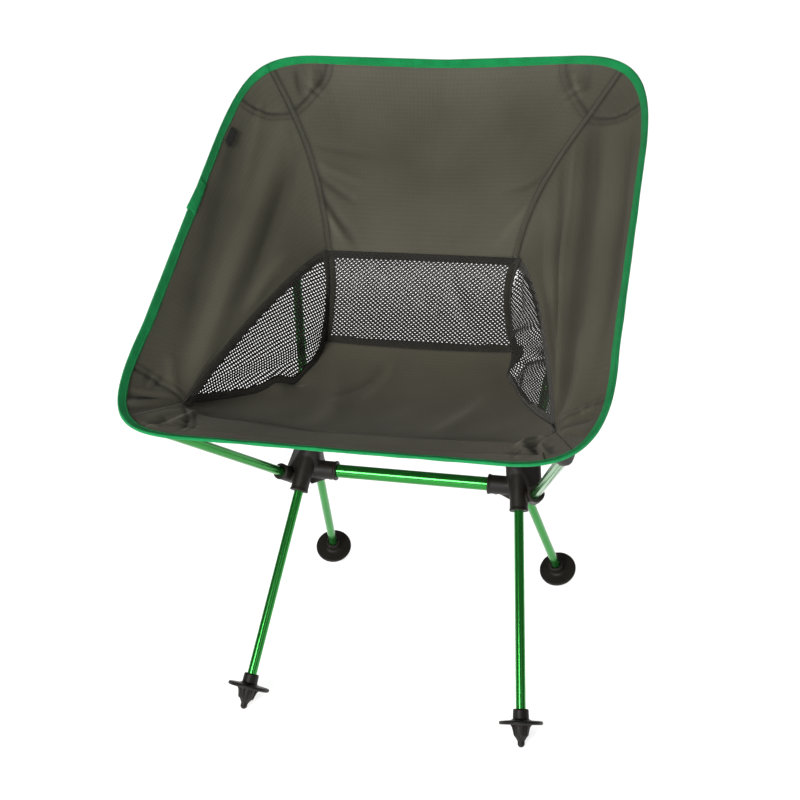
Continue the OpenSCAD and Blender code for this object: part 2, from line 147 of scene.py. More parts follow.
def hypot(t):
    return cubic(PT_C, pt(134, 62, 471), pt(178, -96, 427), PT_E, col(t))


def lower(t):
    return cubic(PT_D, pt(103, -13, 322), pt(208, -131, 361), PT_E, col(t))


def upright(t):
    return quad(PT_D, pt(99, 50, 444), PT_C, col(t))


def mesh_top(x):
    crown = 1 - np.asarray(x, float) ** 2
    return np.stack([x * PT_C[0], PT_C[1] + 8 * MM * crown, PT_C[2] - 2 * MM * crown], -1)


def mesh_foot(x):
    crown = 1 - np.asarray(x, float) ** 2
    return np.stack([x * PT_D[0], PT_D[1] + 8 * MM * crown, PT_D[2] - 6 * MM * crown], -1)


def seat_side(t):
    t = np.asarray(t, float)
    past = np.clip((t - E_SHARE) / (1 - E_SHARE), 0, 1)
    return np.where(col(t) < E_SHARE, lower(np.minimum(t / E_SHARE, 1)),
                    mix(PT_E, rim(RIM_AT_F), col(past)))


def mirrored(x, f):
    x = np.asarray(x, float)
    return np.where(col(x) < 0, f(np.abs(x)) * FLIP, f(np.abs(x)))


def bulge(u, v):
    return col(16 * u * (1 - u) * v * (1 - v))


def coons(c0, c1, d0, d1, lift):
    """Surface between four edge curves, bowed by lift (mm) in its middle."""
    bow = np.array(lift, float) * MM

    def surface(u, v):
        u, v = np.broadcast_arrays(np.asarray(u, float), np.asarray(v, float))
        zero, one = np.zeros_like(u), np.ones_like(u)
        corners = mix(mix(c0(zero), c0(one), col(u)), mix(c1(zero), c1(one), col(u)), col(v))
        edges = mix(c0(u), c1(u), col(v)) + mix(d0(v), d1(v), col(u))
        return edges - corners + bow * bulge(u, v)
    return surface


back_s = coons(lambda s: mesh_top(2 * s - 1),
               lambda s: mirrored(2 * s - 1, lambda x: rim(x * RIM_AT_A)),
               lambda s: seam(s) * FLIP, seam, (0, 9, -4))
side_s = coons(hypot, lambda s: rim(RIM_AT_A + s * (RIM_AT_F - RIM_AT_A)), seam,
               lambda s: mix(PT_E, rim(RIM_AT_F), col(s)), (4, 2, -5))
seat_s = coons(lambda s: mesh_foot(2 * s - 1),
               lambda s: mirrored(2 * s - 1, lambda x: rim(5 - x * (5 - RIM_AT_F))),
               lambda s: seat_side(s) * FLIP, seat_side, (0, 0, -8))
back_mesh_s = coons(lambda s: mesh_foot(2 * s - 1), lambda s: mesh_top(2 * s - 1),
                    lambda s: upright(s) * FLIP, upright, (0, 0, 0))
side_mesh_s = coons(lower, hypot, upright, lambda s: PT_E + 0 * col(s), (4, 0, -3))


def on_side(surface, side):
    return lambda u, v: surface(u, v) * TURN[side]


# ---- geometry helpers ----
def norm(v):
    return np.linalg.norm(v, axis=-1)


def unit(v):
    return v / np.maximum(norm(v)[..., None], 1e-12)


def bell(distance, width):
    """1 on a line, falling smoothly to nothing a few widths away from it."""
    return np.exp(-(distance / width) ** 2)


def stations(path):
    """Length along a path at each of its points."""
    return np.concatenate([[0], np.cumsum(norm(np.diff(path, axis=0)))])


def square(nu, nv):
    """u and v of a grid of nu by nv points over a whole surface."""
    return np.meshgrid(np.linspace(0, 1, nu), np.linspace(0, 1, nv), indexing="ij")


def uv_grid(along, across):
    return np.stack(np.meshgrid(along, across, indexing="ij"), -1)


def spots(surface, *uv):
    return [surface(np.array(u), np.array(v)) for u, v in uv]


# Small pulls in the sewn edge under each side mesh: (centre, radius mm, shift mm).
PULLS = [
    (lower(np.array(0.30)) * FLIP, 13, (-1, 0, -6)),
    (lower(np.array(0.42)) * FLIP, 15, (1, 2, 5)),
    (lower(np.array(0.02)), 13, (8, -2, 2)),
    (lower(np.array(0.15)), 15, (-7, 0, -2)),
]


def pulled(p):
    """Points of the cloth with the small pulls in its lower side edges."""
    p = np.array(p, float)
    for centre, radius, shift in PULLS:
        near = ((p - centre) ** 2).sum(-1, keepdims=True) / (radius * MM) ** 2
        p = p + np.array(shift, float) * MM * np.exp(-near)
    return p


def grid_normals(p, toward):
    """Normals of a point grid: du x dv times toward, which is 1 or -1."""
    n = np.cross(np.gradient(p, axis=0), np.gradient(p, axis=1))
    flat = norm(n) < 1e-13
    if flat.any():
        n[flat] = n[~flat].mean(0)
    return unit(n) * toward


def noise(p, size, seed):
    """Smooth value that wanders between about -1 and 1 over distances of size metres."""
    draw = np.random.RandomState(seed)
    total = 0
    for _ in range(6):
        direction = draw.normal(size=3)
        direction *= draw.uniform(0.6, 1.4) / (np.linalg.norm(direction) * size)
        total = total + np.sin(p @ direction * math.pi + draw.uniform(0, 6.28))
    return total / 2.6


def near_path(p, path):
    """Distance from each point to a path of points, and how far along it (0 to 1) that is."""
    best = np.full(p.shape[:-1], 1e9)
    along = np.zeros(p.shape[:-1])
    length = stations(path)
    for i in range(len(path) - 1):
        step = path[i + 1] - path[i]
        t = np.clip(((p - path[i]) @ step) / max(step @ step, 1e-14), 0, 1)
        d = norm(p - path[i] - t[..., None] * step)
        closer = d < best
        best = np.where(closer, d, best)
        along = np.where(closer, length[i] + t * (length[i + 1] - length[i]), along)
    return best, along / length[-1]


def smooth_path(points, count):
    """Catmull-Rom curve through the points."""
    q = np.array(points, float)
    q = np.vstack([2 * q[0] - q[1], q, 2 * q[-1] - q[-2]])
    out = []
    for s in np.linspace(0, len(q) - 3 - 1e-9, count):
        i = int(s)
        t = s - i
        a, b, c, d = q[i:i + 4]
        out.append(0.5 * (2 * b + (c - a) * t + (2 * a - 5 * b + 4 * c - d) * t ** 2
                          + (3 * b - a - 3 * c + d) * t ** 3))
    return np.array(out)


def even(path, step):
    """The path's points, spaced evenly at about that step."""
    length = stations(path)
    s = np.linspace(0, length[-1], max(int(round(length[-1] / step)), 2) + 1)
    return np.stack([np.interp(s, length, path[:, k]) for k in range(3)], -1)


def add_mesh(name, verts, faces, material, uvs=None, smooth=True):
    data = bpy.data.meshes.new(name)
    data.from_pydata(np.asarray(verts, float).reshape(-1, 3).tolist(), [],
                     [tuple(int(i) for i in f) for f in faces])
    if uvs is not None:
        layer = data.uv_layers.new(name="cloth")
        index = np.zeros(len(data.loops), np.int32)
        data.loops.foreach_get("vertex_index", index)
        layer.data.foreach_set("uv", np.asarray(uvs, float).reshape(-1, 2)[index].ravel())
    data.materials.append(material)
    if smooth:
        data.shade_smooth()
    return place(bpy.data.objects.new(name, data))


def grid_faces(nu, nv, wrap_u=False, wrap_v=False):
    i, j = np.meshgrid(np.arange(nu if wrap_u else nu - 1), np.arange(nv if wrap_v else nv - 1),
                       indexing="ij")
    i2, j2 = (i + 1) % nu, (j + 1) % nv
    return np.stack([i * nv + j, i2 * nv + j, i2 * nv + j2, i * nv + j2], -1).reshape(-1, 4)


def apply_modifiers(obj):
    bpy.context.view_layer.update()
    graph = bpy.context.evaluated_depsgraph_get()
    made = bpy.data.meshes.new_from_object(obj.evaluated_get(graph))
    obj.modifiers.clear()
    obj.data = made


def thicken(obj, thickness):
    mod = obj.modifiers.new("thickness", "SOLIDIFY")
    mod.thickness = thickness
    mod.offset = 0
    mod.use_even_offset = False
    apply_modifiers(obj)


def cloth_area(p):
    """Area of a point grid."""
    a = np.cross(p[1:, :-1] - p[:-1, :-1], p[1:, 1:] - p[:-1, :-1])
    b = np.cross(p[1:, 1:] - p[:-1, :-1], p[:-1, 1:] - p[:-1, :-1])
    return float(norm(a).sum() + norm(b).sum()) / 2


# ---- materials ----
def scaled(colour, share):
    return tuple(c * share for c in colour)


class Paint:
    """A node material on Object coordinates in metres; its methods add and link nodes."""

    def __init__(self, name):
        self.material = bpy.data.materials.new(name)
        self.material.use_nodes = True
        self.tree = self.material.node_tree
        self.p = self.tree.nodes["Principled BSDF"]
        self.xyz = self.add("ShaderNodeTexCoord").outputs["Object"]

    def add(self, kind, **settings):
        node = self.tree.nodes.new(kind)
        for key, value in settings.items():
            setattr(node, key, value)
        return node

    def link(self, source, target):
        self.tree.links.new(source, target)

    def set(self, socket, value):
        self.p.inputs[socket].default_value = value

    def math(self, operation, *values):
        node = self.add("ShaderNodeMath", operation=operation)
        for socket, value in zip(node.inputs, values):
            if isinstance(value, (int, float)):
                socket.default_value = value
            else:
                self.link(value, socket)
        return node.outputs[0]

    def noise(self, scale, detail, stretch=None):
        where = self.xyz
        if stretch:
            mapping = self.add("ShaderNodeMapping")
            mapping.inputs["Scale"].default_value = stretch
            self.link(where, mapping.inputs["Vector"])
            where = mapping.outputs[0]
        node = self.add("ShaderNodeTexNoise")
        node.inputs["Scale"].default_value = scale
        node.inputs["Detail"].default_value = detail
        self.link(where, node.inputs["Vector"])
        return node.outputs["Fac"]

    def cloth_uv(self):
        uv = self.add("ShaderNodeUVMap", uv_map="cloth")
        split = self.add("ShaderNodeSeparateXYZ")
        self.link(uv.outputs[0], split.inputs[0])
        return split.outputs[0], split.outputs[1]

    def lines(self, coordinate, pitch, share):
        """1 on thin lines every pitch, whose half width is share of the pitch, else 0."""
        away = self.math("PINGPONG", self.math("MULTIPLY", coordinate, 1 / pitch), 0.5)
        return self.ramp(away, 0, share, 1, 0)

    def waves(self, coordinate, pitch):
        return self.math("SINE", self.math("MULTIPLY", coordinate, 2 * math.pi / pitch))

    def ramp(self, value, low, high, out_low, out_high):
        node = self.add("ShaderNodeMapRange")
        for key, number in zip(("From Min", "From Max", "To Min", "To Max"),
                               (low, high, out_low, out_high)):
            node.inputs[key].default_value = number
        self.link(value, node.inputs["Value"])
        return node.outputs[0]

    def blend(self, share, a, b):
        node = self.add("ShaderNodeMix", data_type="RGBA")
        for socket, value in ((node.inputs[6], a), (node.inputs[7], b)):
            if isinstance(value, tuple):
                socket.default_value = (*value, 1)
            else:
                self.link(value, socket)
        self.link(share, node.inputs[0])
        return node.outputs[2]

    def colour(self, value):
        if isinstance(value, tuple):
            self.set("Base Color", (*value, 1))
        else:
            self.link(value, self.p.inputs["Base Color"])

    def rough(self, value):
        self.link(value, self.p.inputs["Roughness"])

    def bump(self, height, distance):
        node = self.add("ShaderNodeBump")
        node.inputs["Distance"].default_value = distance
        self.link(height, node.inputs["Height"])
        self.link(node.outputs[0], self.p.inputs["Normal"])

    def sheen(self, weight, tint=(1, 1, 1)):
        self.set("Sheen Weight", weight)
        self.set("Sheen Roughness", 0.4)
        self.set("Sheen Tint", (*tint, 1))


RIPSTOP_PITCH, PLAIN_PITCH = 0.0046, 0.00056


def ripstop(name, base, light):
    """Plain weave with a raised square of thicker yarns every few millimetres.

    It is darker where the panel's point attribute is below 0 and lighter where it is above: painted
    shade in grooves, valleys and along seams, a painted highlight on ridges, and a little tone that
    differs at random.
    """
    m = Paint(name)
    u, v = m.cloth_uv()
    grid = m.math("MAXIMUM", m.lines(u, RIPSTOP_PITCH, 0.11), m.lines(v, RIPSTOP_PITCH, 0.11))
    weave = m.math("MULTIPLY", m.waves(u, PLAIN_PITCH), m.waves(v, PLAIN_PITCH))
    patchy = m.noise(9, 3)
    fine = m.noise(900, 2)
    tone = m.math("ADD", m.ramp(patchy, 0.3, 0.7, 0, 0.55), m.ramp(fine, 0.3, 0.7, 0, 0.35))
    shade = m.blend(tone, base, light)
    lifted = m.blend(m.ramp(grid, 0, 1, 0, 0.22), shade, scaled(light, 1.5))
    # Painted shade and painted highlight, read from the panel's point attribute.
    wear_and_painted_shading = m.add("ShaderNodeAttribute", attribute_name="tone_and_painted_shading").outputs["Fac"]
    dark = m.blend(m.ramp(wear_and_painted_shading, -1, 0, 0.62, 0), lifted, scaled(base, 0.2))
    m.colour(m.blend(m.ramp(wear_and_painted_shading, 0, 1, 0, 0.55), dark, scaled(light, 1.6)))
    m.rough(m.ramp(patchy, 0.2, 0.8, 0.56, 0.68))
    m.sheen(0.12, (1, 0.96, 0.86))
    m.set("Specular IOR Level", 0.35)
    height = m.math("ADD", m.math("MULTIPLY", grid, 0.4), m.math("MULTIPLY", weave, 0.28))
    m.bump(height, 0.00014)
    return m.material


def woven(name, base, light, pitch=0.0007, roughness=0.8, sheen=0.25, diagonal=False):
    """Tape or binding, with straight or diagonal ribs."""
    m = Paint(name)
    u, v = m.cloth_uv()
    if diagonal:
        ribs = m.waves(m.math("ADD", u, v), pitch * 1.5)
        cross = m.waves(m.math("SUBTRACT", u, v), pitch * 0.7)
    else:
        ribs = m.waves(u, pitch)
        cross = m.waves(v, pitch)
    rub = m.noise(60, 3)
    fine = m.noise(1100, 2)
    tone = m.math("ADD", m.ramp(rub, 0.35, 0.7, 0, 0.55), m.ramp(fine, 0.35, 0.65, 0, 0.4))
    shade = m.blend(tone, base, light)
    m.colour(m.blend(m.ramp(ribs, -1, 1, 0, 0.35), shade, scaled(base, 0.72)))
    m.rough(m.ramp(rub, 0.2, 0.8, roughness - 0.06, roughness + 0.06))
    m.sheen(sheen, tuple(min(1, 0.45 + c) for c in light))
    m.set("Specular IOR Level", 0.3)
    m.bump(m.math("ADD", ribs, m.math("MULTIPLY", cross, 0.5)), 0.00012)
    return m.material


def yarn(name, base, light, sheen=0.3):
    """Knitted or twisted yarn, from noise alone."""
    m = Paint(name)
    twist = m.noise(2600, 3)
    patch = m.noise(40, 2)
    m.colour(m.blend(m.ramp(twist, 0.3, 0.7, 0, 1), base, light))
    m.rough(m.ramp(patch, 0.2, 0.8, 0.62, 0.78))
    m.sheen(sheen)
    m.bump(twist, 0.0001)
    return m.material


def anodised(name, base, deep):
    """Coloured anodised tube: a tinted metal with rubbed patches, specks and a faint grain."""
    m = Paint(name)
    grain = m.noise(2600, 2)
    patch = m.noise(28, 3)
    speck = m.noise(700, 2)
    tone = m.blend(m.ramp(patch, 0.3, 0.75, 0, 0.6), base, deep)
    m.colour(m.blend(m.ramp(speck, 0.66, 0.75, 0, 0.08), tone, scaled(base, 1.5)))
    m.set("Metallic", 0.82)
    m.rough(m.ramp(patch, 0.3, 0.7, 0.15, 0.19))
    m.set("Coat Weight", 0.08)
    m.set("Coat Roughness", 0.15)
    m.bump(grain, 4e-7)
    return m.material


def moulded(name, base, wear_and_painted_shading, roughness=0.5):
    """Moulded nylon: fine spark texture, rubbed lighter on its edges."""
    m = Paint(name)
    spark = m.noise(1800, 3)
    patch = m.noise(45, 3)
    edge = m.add("ShaderNodeNewGeometry").outputs["Pointiness"]
    rub = m.math("MULTIPLY", m.ramp(edge, 0.52, 0.6, 0, 0.6), m.ramp(patch, 0.4, 0.7, 0.2, 1))
    m.colour(m.blend(m.math("ADD", rub, m.ramp(patch, 0.3, 0.7, 0, 0.25)), base, wear_and_painted_shading))
    m.rough(m.ramp(patch, 0.3, 0.7, roughness - 0.06, roughness + 0.08))
    m.set("Specular IOR Level", 0.3)
    m.bump(spark, 0.00006)
    return m.material


def bare_metal(name, base):
    """Bare metal with fine drawing lines along Z."""
    m = Paint(name)
    drawn = m.noise(900, 2, stretch=(1, 1, 0.08))
    m.colour(m.blend(m.ramp(drawn, 0.3, 0.7, 0, 1), base, scaled(base, 0.82)))
    m.set("Metallic", 1)
    m.rough(m.ramp(drawn, 0.3, 0.7, 0.28, 0.4))
    m.bump(drawn, 0.00001)
    return m.material


GREY_BASE, GREY_LIGHT = (0.072, 0.067, 0.047), (0.100, 0.094, 0.067)
panel_cloth = ripstop("panel_cloth", GREY_BASE, GREY_LIGHT)
hem_cloth = ripstop("hem_cloth", scaled(GREY_BASE, 1.12), scaled(GREY_LIGHT, 1.12))
felled_cloth = woven("felled_cloth", GREY_BASE, GREY_LIGHT, roughness=0.72)
mesh_yarn = yarn("mesh_yarn", (0.008, 0.007, 0.005), (0.020, 0.017, 0.013), sheen=0.05)
tape_cloth = woven("tape_cloth", (0.030, 0.026, 0.020), (0.052, 0.046, 0.036))
binding_cloth = woven("binding_cloth", (0.002, 0.255, 0.066), (0.008, 0.430, 0.120),
                      pitch=0.0009, diagonal=True, sheen=0.06, roughness=0.6)
pocket_cloth = woven("pocket_cloth", (0.011, 0.010, 0.009), (0.022, 0.020, 0.018),
                     roughness=0.6)
tag_cloth = woven("tag_cloth", (0.006, 0.006, 0.006), (0.014, 0.014, 0.013), pitch=0.0004,
                  roughness=0.6)
grey_thread = yarn("grey_thread", (0.085, 0.080, 0.062), (0.15, 0.14, 0.11))
# A real thread, taken near black so that its rows also stand for painted shadow along the sewn arcs
# and the felled seams.
dark_thread = yarn("dark_thread", (0.012, 0.010, 0.008), (0.030, 0.026, 0.021), sheen=0.1)
green_thread = yarn("green_thread", (0.008, 0.20, 0.05), (0.02, 0.34, 0.10))
green_tube = anodised("green_tube", (0.024, 0.255, 0.036), (0.018, 0.200, 0.029))
nylon = moulded("nylon", (0.0065, 0.0046, 0.0030), (0.020, 0.0155, 0.0115))
foot_nylon = moulded("foot_nylon", (0.0065, 0.0046, 0.0030), (0.022, 0.017, 0.0125), 0.52)
tip_nylon = moulded("tip_nylon", (0.006, 0.005, 0.004), (0.020, 0.017, 0.014))
steel = bare_metal("steel", (0.62, 0.62, 0.63))
aluminium = bare_metal("aluminium", (0.75, 0.76, 0.78))
cord_cover = yarn("cord_cover", (0.012, 0.012, 0.012), (0.05, 0.05, 0.05))

SLOT_PAINT = {
    "anodised_tube": green_tube, "bare_aluminium": aluminium, "hub_nylon": nylon,
    "foot_nylon": foot_nylon, "tip_nylon": tip_nylon, "steel_pin": steel,
    "shock_cord": cord_cover,
}
for row in frame["record"]["subparts"]:
    paint = SLOT_PAINT.get(row["material_slot"])
    coats = frame["nodes"][row["node"]].data.materials
    if paint:
        if not coats:
            coats.append(paint)
        for k in range(len(coats)):
            coats[k] = paint


def settle(obj, slot_name, *replaced, body=SEAT):
    """The piece rides on its body and stands for the CAD nodes it replaces; the slot name is not
    used.
    """
    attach(obj, body)
    if replaced:
        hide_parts(*replaced)
    return obj


# ---- folds, grooves and stitched lines of the cloth ----
SIDES = {LEFT: "left", RIGHT: "right"}
ENDS = ("top", "front")
ARC_POINTS = {
    # end: (panel beside the side panel, its points (u, v), points of the side panel)
    "top": (back_s, [(0.845, 0.975), (0.868, 0.9), (0.91, 0.825), (0.965, 0.765)],
            [(0.006, 0.745), (0.055, 0.775), (0.105, 0.83), (0.15, 0.93), (0.165, 0.985)]),
    "front": (seat_s, [(0.895, 0.985), (0.885, 0.93), (0.915, 0.855), (0.965, 0.8)],
              [(0.985, 0.05), (0.935, 0.26), (0.895, 0.48), (0.862, 0.7), (0.84, 0.97)]),
}


def corner_arc(side, end):
    """Sewn edge of the pocket at a corner, from the back's or seat's edge to the side's edge."""
    panel, beside, wing = ARC_POINTS[end]
    beside = [(u if side == RIGHT else 1 - u, v) for u, v in beside]
    return smooth_path(spots(panel, *beside) + spots(on_side(side_s, side), *wing), 60)


CORNER_KEYS = [(side, end) for side in SIDES for end in ENDS]
ARCS = {key: corner_arc(*key) for key in CORNER_KEYS}
CORNERS = {(side, end): rim(np.array(1.42 if end == "top" else 3.5)) * TURN[side]
           for side, end in CORNER_KEYS}
OUTER_LINE_MM = 8.5


def outer_line(key):
    """The second sewn line of an arc, a little further from the corner."""
    away = ARCS[key] - CORNERS[key]
    return CORNERS[key] + away + unit(away) * OUTER_LINE_MM * MM


# Long soft ridges (height above 0) and valleys (below 0) of the panels: height mm, width mm,
# share of the length that tapers at each end, and the points (u, v) that each runs through.
FOLDS = {
    "side_left": [
        (6.5, 13, 0.25, (0.02, 0.725), (0.22, 0.56), (0.45, 0.45), (0.7, 0.25), (0.92, 0.04)),
        (-4, 9, 0.35, (0.01, 0.56), (0.195, 0.42), (0.39, 0.29), (0.585, 0.15)),
        (-3.5, 14, 0.25, (0.14, 0.9), (0.36, 0.8), (0.6, 0.62), (0.82, 0.4)),
        (2.2, 7, 0.25, (0.3, 0.12), (0.44, 0.12), (0.6, 0.07)),
        (1.2, 6, 0.25, (0.08, 0.88), (0.2, 0.78), (0.34, 0.68)),
        (1.8, 7, 0.25, (0.8, 0.55), (0.88, 0.36), (0.96, 0.16)),
        (3.4, 4, 0.25, (0.95, 0.9), (0.96, 0.6), (0.985, 0.18)),
        (-2.4, 3.5, 0.25, (0.922, 0.9), (0.938, 0.56), (0.972, 0.18)),
        (-2.8, 3.5, 0.25, (0.98, 0.88), (0.985, 0.56), (0.992, 0.2)),
        (1.4, 4, 0.25, (0.9, 0.86), (0.918, 0.6), (0.955, 0.22)),
    ],
    "side_right": [
        (-5.5, 8.5, 0.15, (0.03, 0.72), (0.24, 0.565), (0.56, 0.4), (0.8, 0.25), (0.94, 0.08)),
        (3, 3.6, 0.15, (0.01, 0.6), (0.14, 0.46), (0.375, 0.3), (0.655, 0.18), (0.87, 0.05)),
        (-2.6, 3.4, 0.2, (0.01, 0.5), (0.13, 0.38), (0.36, 0.245), (0.64, 0.13)),
        (3.2, 7, 0.25, (0.08, 0.29), (0.28, 0.19), (0.5, 0.12)),
        (4, 10, 0.25, (0.1, 0.8), (0.3, 0.72), (0.55, 0.66), (0.8, 0.52)),
        (-2.6, 8, 0.25, (0.2, 0.9), (0.48, 0.84), (0.72, 0.78)),
        (-2, 4, 0.25, (0.3, 0.07), (0.52, 0.07), (0.8, 0.05)),
        (2.6, 7, 0.25, (0.66, 0.46), (0.8, 0.38), (0.95, 0.2)),
        (3, 4.5, 0.25, (0.86, 0.8), (0.89, 0.5), (0.96, 0.16)),
        (-2.6, 4, 0.25, (0.89, 0.84), (0.92, 0.54), (0.975, 0.2)),
        (2.4, 4, 0.25, (0.93, 0.86), (0.95, 0.54), (0.985, 0.26)),
    ],
    "back": [
        (-2.6, 5, 0.3, (0.004, 0.3), (0.06, 0.17), (0.125, 0.07), (0.15, 0.01)),
        (2.4, 5, 0.3, (0.004, 0.22), (0.05, 0.12), (0.1, 0.03)),
        (-1.7, 4.5, 0.3, (0.01, 0.38), (0.07, 0.3), (0.16, 0.22)),
        (1.2, 6, 0.3, (0.01, 0.46), (0.09, 0.38), (0.2, 0.33)),
        (-1, 6, 0.3, (0.01, 0.56), (0.12, 0.5), (0.28, 0.48)),
        (1.6, 6, 0.4, (0.985, 0.3), (0.93, 0.16), (0.86, 0.03)),
        (-1.3, 5, 0.4, (0.99, 0.46), (0.93, 0.34), (0.84, 0.3)),
        (-2.4, 30, 0.4, (0.16, 0.72), (0.36, 0.5), (0.62, 0.4), (0.86, 0.62)),
        (-2.4, 4.5, 0.3, (0.085, 0.97), (0.07, 0.9), (0.06, 0.82)),
        (2, 4.5, 0.3, (0.115, 0.97), (0.105, 0.9), (0.085, 0.83)),
        (-1.6, 3.5, 0.3, (0.135, 0.97), (0.13, 0.9), (0.11, 0.84)),
        (2.6, 5, 0.3, (0.87, 0.97), (0.885, 0.9), (0.915, 0.83)),
        (-2, 4.5, 0.3, (0.9, 0.97), (0.915, 0.9), (0.935, 0.84)),
    ],
    "seat": [
        (3, 15, 0.4, (0.12, 0.14), (0.26, 0.34), (0.34, 0.62)),
        (3.6, 14, 0.4, (0.9, 0.2), (0.76, 0.38), (0.64, 0.6)),
        (-2.6, 11, 0.4, (0.06, 0.72), (0.24, 0.66), (0.42, 0.74)),
        (-2.8, 11, 0.4, (0.95, 0.7), (0.78, 0.66), (0.6, 0.76)),
        (-2, 26, 0.4, (0.5, 0.1), (0.46, 0.34), (0.52, 0.62)),
        # round gathers inside the front corners
        (3.6, 4.2, 0.15, (0.912, 0.9), (0.916, 0.8), (0.938, 0.7), (0.962, 0.74), (0.968, 0.84)),
        (-3, 3.6, 0.15, (0.934, 0.92), (0.936, 0.84), (0.948, 0.79)),
        (2.6, 3.2, 0.15, (0.95, 0.94), (0.948, 0.87), (0.956, 0.83)),
        (-2.2, 3, 0.15, (0.97, 0.95), (0.966, 0.91), (0.972, 0.88)),
        (3.4, 4.2, 0.15, (0.075, 0.91), (0.068, 0.84), (0.046, 0.78), (0.024, 0.84), (0.022, 0.93)),
        (-2.8, 3.6, 0.15, (0.055, 0.95), (0.05, 0.89), (0.036, 0.88)),
        (2.2, 3.5, 0.2, (0.03, 0.975), (0.05, 0.955), (0.08, 0.945)),
        # creases that start at the mesh
        (-1.8, 6, 0.3, (0.33, 0.06), (0.3, 0.16), (0.22, 0.3)),
        (1.6, 6, 0.3, (0.38, 0.05), (0.37, 0.16), (0.34, 0.3)),
    ],
}


PUCKER, GROOVE = 0.011, 0.0024  # length of a pucker and half width of a sewn groove, metres


def relief(surface, p, folds, arcs, seed):
    """How far each point p of the cloth lies off its plain surface, and its tone with painted shade
    and highlight.

    That tone runs from -1, painted shade in a groove or valley, to 1, a painted highlight on a
    ridge.
    """
    height = noise(p, 0.085, seed) * 0.8 * MM + noise(p, 0.03, seed + 50) * 0.25 * MM
    # A little tone that differs at random; the folds, grooves and seams below add painted shade and
    # highlight.
    tone_and_painted_shading = 0.10 * noise(p, 0.05, seed + 90)
    for rise, width, ends, *uv in folds:
        rise, width = rise * MM, width * MM
        d, s = near_path(p, smooth_path(spots(surface, *uv), 24))
        taper = np.clip(np.minimum(s, 1 - s) / ends, 0, 1)
        step = rise * bell(d, width) * (0.15 + 0.85 * taper ** 0.7)
        height = height + step
        # Painted highlight along each ridge and painted shade along each valley.
        tone_and_painted_shading = tone_and_painted_shading + np.clip(step / (5 * MM), -0.5, 0.4) * np.clip(8 * MM / width, 0.3, 1)
    for key in arcs:
        arc = ARCS[key]
        d, s = near_path(p, arc)
        d2, _ = near_path(p, outer_line(key))
        reach = len(even(arc, 0.001)) * 0.001
        pucker = np.sin(s * reach / PUCKER * math.pi + 2.1 * np.sin(s * 23))
        height = height - 1.5 * MM * bell(d, GROOVE)
        height = height - 0.7 * MM * bell(d2, GROOVE)
        height = height + 0.8 * MM * pucker * bell(d, PUCKER)
        radius = np.interp(s, np.linspace(0, 1, len(arc)), norm(arc - CORNERS[key]))
        inside = 1 / (1 + np.exp((norm(p - CORNERS[key]) - radius) / 0.0015))
        # Painted shade in the two sewn grooves of each arc, stronger on the left; the cloth is also
        # darker inside the arc and in a band just outside it.
        deep = 1 if key[0] == LEFT else 0.75
        tone_and_painted_shading = tone_and_painted_shading - deep * bell(d, 0.0023) - 0.6 * deep * bell(d2, 0.0018)
        tone_and_painted_shading = tone_and_painted_shading - 0.25 * inside - 0.28 * bell(d - 0.004, 0.004) * (1 - inside)
    return height, tone_and_painted_shading


T = np.linspace(0, 1, 80)
LEFT_SIDE = on_side(side_s, LEFT)
PANELS = {
    # key: (node, surface, across mm, up mm, normal's side, corners whose arcs it has)
    "back": ("back_panel", back_s, 370, 205, 1, [(LEFT, "top"), (RIGHT, "top")]),
    "side_left": ("side_panel_left", LEFT_SIDE, 400, 150, -1, [(LEFT, "top"), (LEFT, "front")]),
    "side_right": ("side_panel_right", side_s, 400, 150, 1, [(RIGHT, "top"), (RIGHT, "front")]),
    "seat": ("seat_panel", seat_s, 330, 320, -1, [(LEFT, "front"), (RIGHT, "front")]),
}
CLOTH_THICK, NET_THICK = 0.0005, 0.0004
STEP_MM = 1.8
FADE_SHARE, FLAT_MM, RISE_MM = 0.06, 7, 11


def edge_fade(u, v, depth_mm=0):
    """0 on a panel's edges, so neighbours still meet there, and 1 inside.

    With a depth, a panel also stays flat under the binding along its rim, where v is 1.
    """
    near = np.minimum(np.minimum(u, 1 - u), np.minimum(v, 1 - v))
    fade = np.clip(near / FADE_SHARE, 0, 1) ** 0.8
    if depth_mm:
        fade = fade * np.clip(((1 - v) * depth_mm - FLAT_MM) / RISE_MM, 0, 1)
    return fade


def make_panel(key, seed):
    node, surface, across, tall, toward, arcs = PANELS[key]
    nu, nv = int(across / STEP_MM) + 1, int(tall / STEP_MM) + 1
    u, v = square(nu, nv)
    p = surface(u, v)
    off, tone_and_painted_shading = relief(surface, p, FOLDS[key], arcs, seed)
    off = off * edge_fade(u, v, tall)
    for side in SIDES:
        d, _ = near_path(p, seam(T) * TURN[side])
        # Painted shadow lines along the side seams: one beside the felled band on the back panel,
        # one on the seam itself.
        if key == "back":
            tone_and_painted_shading = tone_and_painted_shading - 0.8 * bell(d - 0.0065, 0.0016)
        if key != "seat":
            tone_and_painted_shading = tone_and_painted_shading - 0.8 * bell(d, 0.0020)
    p = pulled(p + grid_normals(p, toward) * off[..., None])
    uvs = np.stack([u * across * MM, v * tall * MM], -1)
    obj = add_mesh(key + "_cloth", p, grid_faces(nu, nv), panel_cloth, uvs)
    # Stored for the cloth's material: tone with painted shade and painted highlight.
    layer = obj.data.attributes.new("tone_and_painted_shading", "FLOAT", "POINT")
    layer.data.foreach_set("value", np.clip(tone_and_painted_shading, -1, 1).ravel().astype(np.float32))
    thicken(obj, CLOTH_THICK)
    return settle(obj, "panel_fabric", node), p


made_panels = {key: make_panel(key, 11 * (i + 1)) for i, key in enumerate(PANELS)}


